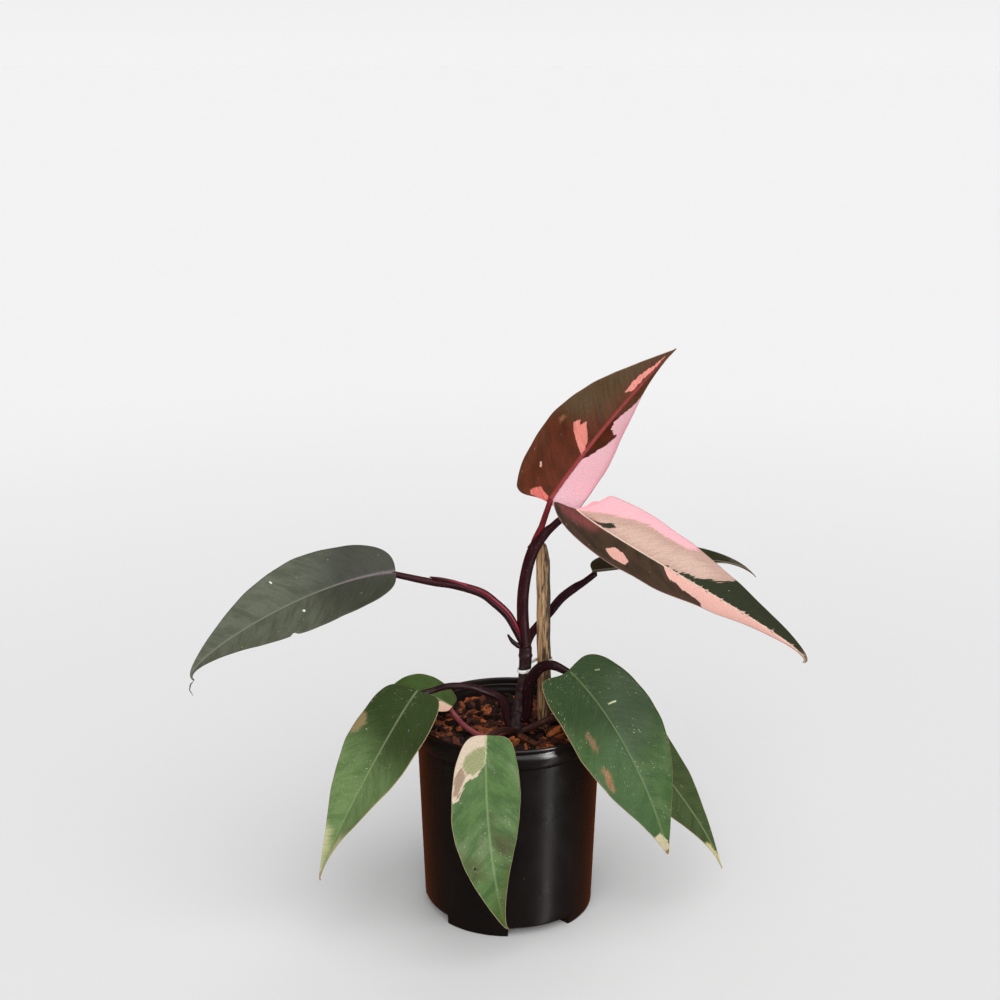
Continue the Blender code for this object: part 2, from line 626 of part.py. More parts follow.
def outline_of(spots):
    """Convex outline of a set of plan points, anticlockwise."""
    ordered = sorted(set(spots))

    def chain(run):
        kept = []
        for x, y in run:
            while len(kept) > 1:
                (ax, ay), (bx, by) = kept[-2:]
                if (bx - ax) * (y - ay) - (by - ay) * (x - ax) > 0:
                    break
                kept.pop()
            kept.append((x, y))
        return kept[:-1]

    return chain(ordered) + chain(reversed(ordered))


def main():
    clear_scene()
    parts = new_collection("Philodendron")
    cutters = new_collection("Cutters")
    make_pot(parts, cutters)
    make_mix(parts, cutters)
    make_stake(parts)
    make_tie(parts)
    make_stem(parts, cutters)
    make_petioles(parts, cutters)
    for name, blade in BLADES.items():
        make_blade(name, blade, parts)


main()
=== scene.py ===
"""The looks of a pink princess philodendron in its nursery pot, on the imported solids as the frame."""
import math

import bmesh
import bpy
import numpy as np
from mathutils import Matrix, Vector


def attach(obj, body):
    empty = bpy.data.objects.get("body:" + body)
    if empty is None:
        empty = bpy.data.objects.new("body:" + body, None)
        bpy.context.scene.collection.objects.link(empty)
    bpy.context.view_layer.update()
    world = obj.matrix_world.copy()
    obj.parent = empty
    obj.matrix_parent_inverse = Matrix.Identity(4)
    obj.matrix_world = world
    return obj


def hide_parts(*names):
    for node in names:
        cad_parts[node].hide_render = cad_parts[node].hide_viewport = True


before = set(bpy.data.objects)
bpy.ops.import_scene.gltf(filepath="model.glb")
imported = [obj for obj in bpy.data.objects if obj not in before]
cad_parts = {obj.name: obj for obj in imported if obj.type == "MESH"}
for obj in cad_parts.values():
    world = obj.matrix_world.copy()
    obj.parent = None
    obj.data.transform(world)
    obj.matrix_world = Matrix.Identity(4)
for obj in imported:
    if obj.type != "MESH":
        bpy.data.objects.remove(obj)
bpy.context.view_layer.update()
MM = 0.001

# Camera: the photograph was taken from about 1.2 m in front and half a metre above the pot, with
# a lens that sees the plant about as a 58 mm lens on a 36 mm wide sensor does.
CAMERA_PLACE = (-0.0069, -1.2, 0.6708)
CAMERA_TILT_DOWN = 15.489
CAMERA_LENS = 58.06

camera_data = bpy.data.cameras.new("view")
camera_data.lens = CAMERA_LENS
camera_data.sensor_width = 36.0
camera = bpy.data.objects.new("view", camera_data)
camera.location = CAMERA_PLACE
camera.rotation_euler = (math.radians(90.0 - CAMERA_TILT_DOWN), 0.0, 0.0)
bpy.context.scene.collection.objects.link(camera)
bpy.context.scene.camera = camera

# Leaf blades: nine thin, leathery blades, each grown flat and then folded along its midrib and
# arched by its own weight. The cells carry their colour from the bud, so a patch starts at the
# midrib and runs out along the side veins, and its edge is torn into fingers along them.
# A few broad, soft patches are painted light instead: a painted sheen on the top blade, and painted shade
# over the bases of the left, low left and low right blades.
ROWS = 150
COLUMNS_PER_HALF = 34
THICKNESS = 0.8
MARGIN_THICKNESS = 0.45
RIB_BULGE = 1.3
RIB_SPREAD = 1.7
RIB_GROOVE = 0.45
VEIN_SPACING = 5.5
WAVE_LENGTH = 46.0
WAVE_RISE = 0.8
VEIN_RISE = 0.05
VEIN_LEAN = 0.55
VEIN_CURVE = 0.009
NARROWEST_HALF = 0.5
BASE_POWER = 0.55
LOBE_REACH = 0.1
ROWS_TO_BASE = 1.5
COLUMNS_TO_RIB = 1.3
DRIP_ROWS = 24
OUT = 60


def linear(code):
    """An sRGB hex colour as linear values: each channel is divided by 12.92 or raised to 2.4."""
    channels = np.array([int(code[i:i + 2], 16) for i in (1, 3, 5)]) / 255.0
    low = channels / 12.92
    high = ((channels + 0.055) / 1.055) ** 2.4
    return (*np.where(channels <= 0.04045, low, high), 1.0)


OUTPUT_IN_USE = {"ShaderNodeMix": 2, "ShaderNodeAttribute": 2, "ShaderNodeTexCoord": 3}
SMOOTH = {"interpolation_type": "SMOOTHSTEP"}
# A Mix of colours takes its share at input 0, the colour below at 6 and the colour over it at 7
COLOUR = {"data_type": "RGBA"}


def fill(tree, node, inputs):
    """Link or set a node's inputs by name or number. A node given as a value stands for its output
    in use: a mixed colour, an attribute's value, an object's own coordinates, or else its first."""
    for key, value in inputs.items():
        if isinstance(value, bpy.types.Node):
            value = value.outputs[OUTPUT_IN_USE.get(value.bl_idname, 0)]
        if isinstance(value, bpy.types.NodeSocket):
            tree.links.new(value, node.inputs[key])
        else:
            node.inputs[key].default_value = value


def add(tree, kind, inputs=(), **settings):
    """Add a node, make its settings, and fill its inputs: a tuple by place, a dict by name or number."""
    node = tree.nodes.new("ShaderNode" + kind)
    for name, value in settings.items():
        setattr(node, name, value)
    fill(tree, node, inputs if isinstance(inputs, dict) else dict(enumerate(inputs)))
    return node


def blank(name, roughness, **sockets):
    """A new material with its Principled shader, its fixed values set on the shader's own sockets."""
    skin = bpy.data.materials.new(name)
    skin.use_nodes = True
    tree = skin.node_tree
    shader = tree.nodes["Principled BSDF"]
    fixed = {key.replace("_", " "): value for key, value in sockets.items()}
    fill(tree, shader, {"Roughness": roughness, **fixed})
    return skin, tree, shader


def bezier(points, t):
    """A cubic Bezier curve: the four points weighted by (1-t)^3, 3t(1-t)^2, 3t^2(1-t) and t^3."""
    a, b, c, d = points
    t = t[..., None]
    return (1 - t) ** 3 * a + 3 * t * (1 - t) ** 2 * b + 3 * t * t * (1 - t) * c + t ** 3 * d


def bezier_forward(points, t):
    """Unit tangent of the Bezier curve."""
    a, b, c, d = points
    t = t[..., None]
    slope = (1 - t) ** 2 * (b - a) + 2 * t * (1 - t) * (c - b) + t * t * (d - c)
    return slope / np.linalg.norm(slope, axis=-1, keepdims=True)


def leaf_surface(leaf, along, across):
    """The blade as a surface of two parameters.

    along runs from the base (0) to the tip (1), across from the right margin (-1) over the midrib
    to the left margin (1). The flat outline is sin(pi p) with p a power of along, blunter at the
    base than at the tip, and its lobes run back behind the base. Each half is then laid off from
    the midrib curve at its fold angle, which grows by its curl towards the margin.
    Returns points, unit normals, and the flat place in mm: along, signed across, and from the edge.
    """
    rib = np.array(leaf["midrib"], float)
    table = np.linspace(0, 1, 401)
    run = np.r_[0, np.cumsum(np.linalg.norm(np.diff(bezier(rib, table), axis=0), axis=1))]
    length = run[-1]
    side = np.where(across >= 0, 1.0, -1.0)
    out = np.abs(across)

    def pick(key, item=None):
        pair = [leaf[s][key] if item is None else leaf[s][key][item] for s in ("left", "right")]
        return np.where(side > 0, pair[0], pair[1])

    phase = along ** (np.log(0.5) / np.log(pick("widest")))
    wide = np.sin(np.pi * phase) ** np.where(phase < 0.5, BASE_POWER, pick("tip"))
    edge_x = along - pick("lobe") * along / LOBE_REACH * np.exp(1 - along / LOBE_REACH)
    rib_x = np.minimum(along ** 1.05 * 0.97 + 0.03 * along ** 6, along)
    x = rib_x + (edge_x - rib_x) * out ** 1.3
    wobble = 1 + 0.006 * np.sin(along * 23 + side) + 0.004 * np.sin(along * 57 + 2 * side)
    half_width = np.maximum(wide * wobble * pick("width"), NARROWEST_HALF * np.minimum(1, along * 4))
    for nick_side, place, depth, spread in leaf.get("nicks", []):
        half_width = half_width - (side == nick_side) * depth * np.exp(-((along - place) / spread) ** 2)
    y = half_width * out

    inside = np.clip(x, 0, 1)
    t = np.interp(inside * length, run, table)
    forward = bezier_forward(rib, t)
    centre = bezier(rib, t) + forward * (np.minimum(x, 0) * length)[..., None]
    k = inside[..., None]
    up = np.array(leaf["facing"][0]) * (1 - k) + np.array(leaf["facing"][1]) * k
    left = np.cross(up, forward)
    left /= np.linalg.norm(left, axis=-1, keepdims=True)
    up = np.cross(forward, left)

    fold = np.radians(pick("fold", 0) + (pick("fold", 1) - pick("fold", 0)) * inside)
    curl = np.radians(pick("curl"))
    bend = fold + curl * out
    level = np.maximum(out, 1e-9) * curl
    flat = (np.sin(bend) - np.sin(fold)) / level
    rise = (np.cos(fold) - np.cos(bend)) / level
    points = centre + (side * y * flat)[..., None] * left + (y * rise)[..., None] * up
    normals = np.cos(bend)[..., None] * up - (side * np.sin(bend))[..., None] * left
    return points, normals, x * length, side * y, half_width * (1 - out)


def drip_rows(leaf, last, normals):
    """Extra rows past the tip: the last row carried down the drip tip's points, turned to face
    forwards and drawn in to a point."""
    route = np.array([leaf["midrib"][3], *leaf["drip"]], float)
    t = np.linspace(0, 1, DRIP_ROWS + 1)[1:]
    knots = np.linspace(0, 1, len(route))
    middle = np.stack([np.interp(t, knots, route[:, i]) for i in range(3)], axis=1)
    first = (last[-1] - last[0]) / np.linalg.norm(last[-1] - last[0])
    spread = (last - last.mean(axis=0)) @ first
    turned = np.clip(t * 4, 0, 1)[:, None]
    aside = first * (1 - turned) + np.array([1.0, 0.0, 0.0]) * turned
    aside /= np.linalg.norm(aside, axis=1, keepdims=True)
    width = (1.7 - 1.5 * t)[:, None] * spread[None]
    facing = normals.mean(axis=0) * (1 - turned) + np.array([0.0, -1.0, 0.0]) * turned
    facing /= np.linalg.norm(facing, axis=1, keepdims=True)
    rows = middle[:, None, :] + width[..., None] * aside[:, None, :]
    return rows, np.repeat(facing[:, None, :], len(last), axis=1)


def distance_inside(outline, x, y):
    """Signed distance to a closed outline of straight sides, positive inside: the shortest way to
    any side, with its sign from how often a ray crosses the outline."""
    a = np.array(outline, float)
    b = np.roll(a, -1, axis=0)
    points = np.stack([x, y], axis=-1)[..., None, :]
    edge = b - a
    reach = np.clip(((points - a) * edge).sum(-1) / np.maximum((edge ** 2).sum(-1), 1e-9), 0, 1)
    gap = np.linalg.norm(points - a - edge * reach[..., None], axis=-1).min(axis=-1)
    px, py = points[..., 0], points[..., 1]
    straddles = (a[:, 1] > py) != (b[:, 1] > py)
    rise = np.where(edge[:, 1] == 0, 1e-9, edge[:, 1])
    crosses = straddles & (px < a[:, 0] + (py - a[:, 1]) * edge[:, 0] / rise)
    return np.where(crosses.sum(axis=-1) % 2 == 1, gap, -gap)


def finished(name, points, faces, skin, attributes=None, uv=None, merge=0.0):
    """A mesh object at the origin, from points in mm. It gets its float attributes and its UV map
    by vertex. Points of a pole or seam that meet are merged."""
    mesh = bpy.data.meshes.new(name)
    mesh.from_pydata((points * MM).tolist(), [], faces.tolist())
    for key, values in (attributes or {}).items():
        layer = mesh.attributes.new(key, "FLOAT", "POINT")
        layer.data.foreach_set("value", np.ascontiguousarray(values, np.float32))
    if uv is not None:
        corners = np.empty(len(mesh.loops), np.int32)
        mesh.loops.foreach_get("vertex_index", corners)
        mesh.uv_layers.new(name="flat").data.foreach_set("uv", uv[corners].astype(np.float32).ravel())
    if merge:
        shape = bmesh.new()
        shape.from_mesh(mesh)
        bmesh.ops.remove_doubles(shape, verts=shape.verts, dist=merge * MM)
        bmesh.ops.dissolve_degenerate(shape, edges=shape.edges, dist=merge * MM / 2)
        shape.to_mesh(mesh)
        shape.free()
    mesh.shade_smooth()
    mesh.materials.append(skin)
    obj = bpy.data.objects.new(name, mesh)
    bpy.context.scene.collection.objects.link(obj)
    return obj


def grid_faces(rows, columns, start=0, flip=False):
    """Quads of a grid of points numbered row by row."""
    i, j = np.meshgrid(np.arange(rows - 1), np.arange(columns - 1), indexing="ij")
    a = (start + i * columns + j).ravel()
    quads = np.stack([a, a + 1, a + columns + 1, a + columns], axis=1)
    return quads[:, ::-1] if flip else quads


def strip_faces(first, second):
    """Quads between two equal runs of point numbers."""
    return np.stack([first[:-1], first[1:], second[1:], second[:-1]], axis=1)


def leaf_skin(name, leaf):
    """Waxy leaf skin over layered colours, mostly cell colours; a few layers are painted sheen and painted
    shade. The ground colour shows where no layer lies.
    """
    gloss = leaf.get("gloss", 0.42)
    skin, tree, shader = blank(name, gloss, IOR=1.45, Specular_IOR_Level=leaf.get("shine", 0.3))
    flat = add(tree, "UVMap", uv_map="flat")
    rib, edge, run, vein, upper = (
        add(tree, "Attribute", attribute_name=key) for key in ("rib", "edge", "run", "vein", "upper"))

    # Noises stretched along the side veins: mm across and along them, detail, offset, roughness
    noises = []
    for across_veins, along_veins, detail, offset, rough in (
            (0.9, 1.4, 4.0, 1.0, 0.65), (1.1, 12.0, 4.0, 0.0, 0.55), (9.0, 17.0, 4.0, 3.0, 0.6),
            (26.0, 30.0, 3.0, 7.0, 0.55), (2.6, 26.0, 3.0, 11.0, 0.6), (1.5, 3.2, 4.0, 17.0, 0.7)):
        placed = add(tree, "Mapping", {"Vector": flat, "Location": (offset, offset * 0.7, offset),
                                       "Scale": (100.0 / across_veins, 100.0 / along_veins, 1.0)})
        noises.append(add(tree, "TexNoise", {"Vector": placed, "Scale": 1.0, "Detail": detail,
                                             "Roughness": rough}))
    grain, fine, broad, cloud, tear, ragged = noises

    share = add(tree, "MapRange", (broad, 0.38, 0.64), **SMOOTH)
    colour = add(tree, "Mix", {0: share, 6: linear(leaf["ground"]), 7: linear(leaf["ground_2"])}, **COLOUR)
    share = add(tree, "MapRange", (cloud, 0.45, 0.75, 0.0, leaf.get("cloud", 0.5)), **SMOOTH)
    clouded = linear(leaf.get("cloud_colour", leaf["ground_2"]))
    colour = add(tree, "Mix", {0: share, 6: colour, 7: clouded}, **COLOUR)

    # The upper face of the newest leaf has greened before its underside
    if "over_colour" in leaf:
        share = add(tree, "Math", (upper, 0.75), operation="MULTIPLY")
        colour = add(tree, "Mix", {0: share, 6: colour, 7: linear(leaf["over_colour"])}, **COLOUR)

    # Thin paler lines: the fine side veins seen through the skin
    phase = add(tree, "Math", (vein, 100.0 / VEIN_SPACING), operation="MULTIPLY")
    phase = add(tree, "Math", (phase,), operation="FRACT")
    saw = add(tree, "Math", (phase, 0.5), operation="SUBTRACT")
    saw = add(tree, "Math", (saw,), operation="ABSOLUTE")
    vein_line = add(tree, "MapRange", (saw, 0.40, 0.5), **SMOOTH)
    share = add(tree, "Math", (vein_line, leaf.get("vein", 0.1)), operation="MULTIPLY")
    colour = add(tree, "Mix", {0: share, 6: colour, 7: linear(leaf.get("vein_colour", "#7d8a63"))}, **COLOUR)

    # Colour patches, each torn along the side veins and ragged at a finer scale. A few of them are painted
    # sheen and painted shade
    along_veins = add(tree, "Math", (tear, 0.5), operation="SUBTRACT")
    round_about = add(tree, "Math", (ragged, 0.5), operation="SUBTRACT")
    for i, layer in enumerate(leaf["layers"]):
        moved = add(tree, "Math", (along_veins, 2.0 * layer["tear"]), operation="MULTIPLY")
        moved = add(tree, "Math", (round_about, min(2.5, layer["tear"]), moved), operation="MULTIPLY_ADD")
        inside = add(tree, "Attribute", attribute_name=f"patch_{i + 1}")
        depth = add(tree, "Math", (inside, moved), operation="ADD")
        soft = layer["soft"]
        share = add(tree, "MapRange", (depth, -soft, soft, 0.0, layer["strength"]), **SMOOTH)
        streak = add(tree, "MapRange", (fine, 0.3, 0.75), **SMOOTH)
        tones = {6: linear(layer["colour"]), 7: linear(layer["colour_2"])}
        tone = add(tree, "Mix", {0: streak, **tones}, **COLOUR)
        colour = add(tree, "Mix", {0: share, 6: colour, 7: tone}, **COLOUR)

    # Pale flecks of single dead cells, in drifts: a few of 1 mm and many of 0.4 mm
    drift = add(tree, "MapRange", (cloud, 0.4, 0.6), **SMOOTH)
    for cell, many, small, large, strength in ((3.4, 0.5, 0.05, 0.15, 0.85), (1.7, 1.6, 0.08, 0.16, 0.55)):
        placed = add(tree, "Mapping", {"Vector": flat, "Scale": (100.0 / cell, 70.0 / cell, 1.0)})
        cells = add(tree, "TexVoronoi", {"Vector": placed, "Scale": 1.0})
        chance = add(tree, "SeparateColor", (cells.outputs["Color"],)).outputs
        common = min(0.95, leaf.get("flecks", 0.1) * many)
        rare = add(tree, "Math", (chance[0], 1.0 - common), operation="GREATER_THAN")
        size = add(tree, "Math", (chance[1], large, small), operation="MULTIPLY_ADD")
        faint = add(tree, "Math", (chance[2], 0.8, 0.2), operation="MULTIPLY_ADD")
        share = add(tree, "Math", (cells, size), operation="LESS_THAN")
        for factor in (rare, drift, strength, faint):
            share = add(tree, "Math", (share, factor), operation="MULTIPLY")
        pale = linear(leaf.get("fleck_colour", "#e4e3c0"))
        colour = add(tree, "Mix", {0: share, 6: colour, 7: pale}, **COLOUR)

    # Grain of the cells
    mottle = add(tree, "MapRange", (grain, 0.3, 0.7), **SMOOTH)
    mottle = add(tree, "Math", (mottle, 0.3, 0.82), operation="MULTIPLY_ADD")
    streak = add(tree, "MapRange", (fine, 0.35, 0.7), **SMOOTH)
    mottle = add(tree, "Math", (streak, 0.09, mottle), operation="MULTIPLY_ADD")
    mottle = add(tree, "Math", (mottle, leaf.get("shade", 1.0)), operation="MULTIPLY")
    colour = add(tree, "HueSaturation", {"Value": mottle, "Color": colour})

    # Midrib, dying away towards the tip
    near_rib = add(tree, "MapRange", (rib, leaf.get("rib_width", 1.1), 0.2), **SMOOTH)
    fade = add(tree, "MapRange", (run, 1.02, leaf.get("rib_until", 0.9)), **SMOOTH)
    patchy = add(tree, "MapRange", (broad, 0.3, 0.6), **SMOOTH)
    patchy = add(tree, "Math", (patchy, 0.4, 0.6), operation="MULTIPLY_ADD")
    patchy = add(tree, "Math", (patchy, leaf.get("rib_strength", 0.8)), operation="MULTIPLY")
    share = add(tree, "Math", (near_rib, fade), operation="MULTIPLY")
    share = add(tree, "Math", (share, patchy), operation="MULTIPLY")
    colour = add(tree, "Mix", {0: share, 6: colour, 7: linear(leaf["rib_colour"])}, **COLOUR)

    # Margin, thin and dry, of uneven width, and the underside
    worn = add(tree, "Math", (broad, 1.4, -0.25), operation="MULTIPLY_ADD")
    worn = add(tree, "Math", (worn, 0.12), operation="MAXIMUM")
    share = add(tree, "MapRange", (edge, worn, 0.05, 0.0, 0.85), **SMOOTH)
    colour = add(tree, "Mix", {0: share, 6: colour, 7: linear(leaf.get("rim_colour", "#b59b74"))}, **COLOUR)
    below = add(tree, "Math", (1.0, upper), operation="SUBTRACT")
    share = add(tree, "Math", (below, leaf.get("under", 0.35)), operation="MULTIPLY")
    colour = add(tree, "Mix", {0: share, 6: colour, 7: linear(leaf.get("under_colour", "#6d6a55"))}, **COLOUR)

    rough = add(tree, "MapRange", {"Value": cloud, "To Min": gloss - 0.06, "To Max": gloss + 0.1})
    relief = add(tree, "Math", (vein_line, -0.4), operation="MULTIPLY")
    relief = add(tree, "Math", (grain, 0.5, relief), operation="MULTIPLY_ADD")
    bump = add(tree, "Bump", {"Height": relief, "Strength": 0.4, "Distance": 0.3 * MM})
    fill(tree, shader, {"Base Color": colour, "Roughness": rough, "Normal": bump})
    return skin


def make_leaf(name, leaf):
    """One closed blade: the upper surface with a grooved midrib and low quilting between the side
    veins, the lower one a thickness beneath it with the midrib standing out, and a rim between."""
    steps = np.linspace(-1, 1, 2 * COLUMNS_PER_HALF + 1)
    across = (np.sign(steps) * np.abs(steps) ** COLUMNS_TO_RIB)[None, :].repeat(ROWS, axis=0)
    along = (np.linspace(0, 1, ROWS) ** ROWS_TO_BASE)[:, None].repeat(across.shape[1], axis=1)
    top, normal, x, y, edge = leaf_surface(leaf, along, across)
    run = along
    if "drip" in leaf:
        extra, extra_normal = drip_rows(leaf, top[-1], normal[-1])
        top = np.concatenate([top, extra])
        normal = np.concatenate([normal, extra_normal])
        x, y, edge, run = (np.concatenate([v, v[-1:].repeat(DRIP_ROWS, axis=0)]) for v in (x, y, edge, run))
    rows, columns = x.shape

    vein = x - VEIN_LEAN * np.abs(y) - VEIN_CURVE * y ** 2
    open_blade = np.clip(edge / 10, 0, 1) * np.clip((np.abs(y) - 1.5) / 6, 0, 1)
    quilt = VEIN_RISE * (np.cos(2 * np.pi * vein / VEIN_SPACING) - 1) * open_blade
    reach = np.clip(np.abs(y) / 30, 0, 1) ** 1.5 * np.clip(edge + 6, 0, 12) / 12
    wave = WAVE_RISE * np.sin(2 * np.pi * x / WAVE_LENGTH + np.sign(y) + leaf.get("turn", 0)) * reach
    top = top + normal * wave[..., None]
    taper = 1 - 0.85 * np.clip(run, 0, 1)
    groove = RIB_GROOVE * np.exp(-(y / 1.0) ** 2) * taper
    upper = top + normal * (quilt - groove)[..., None]
    bulge = RIB_BULGE * np.exp(-(y / RIB_SPREAD) ** 2) * taper
    body = MARGIN_THICKNESS + (THICKNESS - MARGIN_THICKNESS) * np.clip(edge / 3, 0, 1)
    lower = top - normal * (body + bulge - 0.8 * quilt)[..., None]

    points = np.concatenate([upper.reshape(-1, 3), lower.reshape(-1, 3)])
    half = rows * columns
    numbers = np.arange(half).reshape(rows, columns)
    faces = np.concatenate([
        grid_faces(rows, columns, flip=True), grid_faces(rows, columns, half),
        strip_faces(numbers[:, 0], numbers[:, 0] + half)[:, ::-1],
        strip_faces(numbers[:, -1], numbers[:, -1] + half),
        strip_faces(numbers[0], numbers[0] + half),
        strip_faces(numbers[-1], numbers[-1] + half)[:, ::-1]])
    both = {"rib": np.abs(y), "edge": edge, "run": run, "vein": vein / 100}
    for i, layer in enumerate(leaf["layers"]):
        both[f"patch_{i + 1}"] = distance_inside(layer["outline"], x, y)
    attributes = {key: np.tile(values.ravel(), 2) for key, values in both.items()}
    attributes["upper"] = np.repeat([1.0, 0.0], half)
    uv = np.tile(np.stack([vein.ravel(), y.ravel()], axis=1) / 100, (2, 1))
    skin = leaf_skin(f"leaf skin {name}", leaf)
    piece = finished(f"leaf_{name}", points, faces, skin, attributes, uv, merge=0.002)
    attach(piece, "root")
    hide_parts(f"blade_{name}")
    return piece


def patch(outline, colour, colour_2, tear, soft=0.35, strength=1.0):
    """A colour patch: its outline as flat places on the blade in mm, along the midrib and across it,
    plus to the left. Then come its two tones, in mm how far its edge is torn and how soft it is, and
    its strength. OUT lies beyond the margin, so a patch that ends there runs off the blade's edge."""
    return dict(outline=outline, colour=colour, colour_2=colour_2, tear=tear, soft=soft, strength=strength)


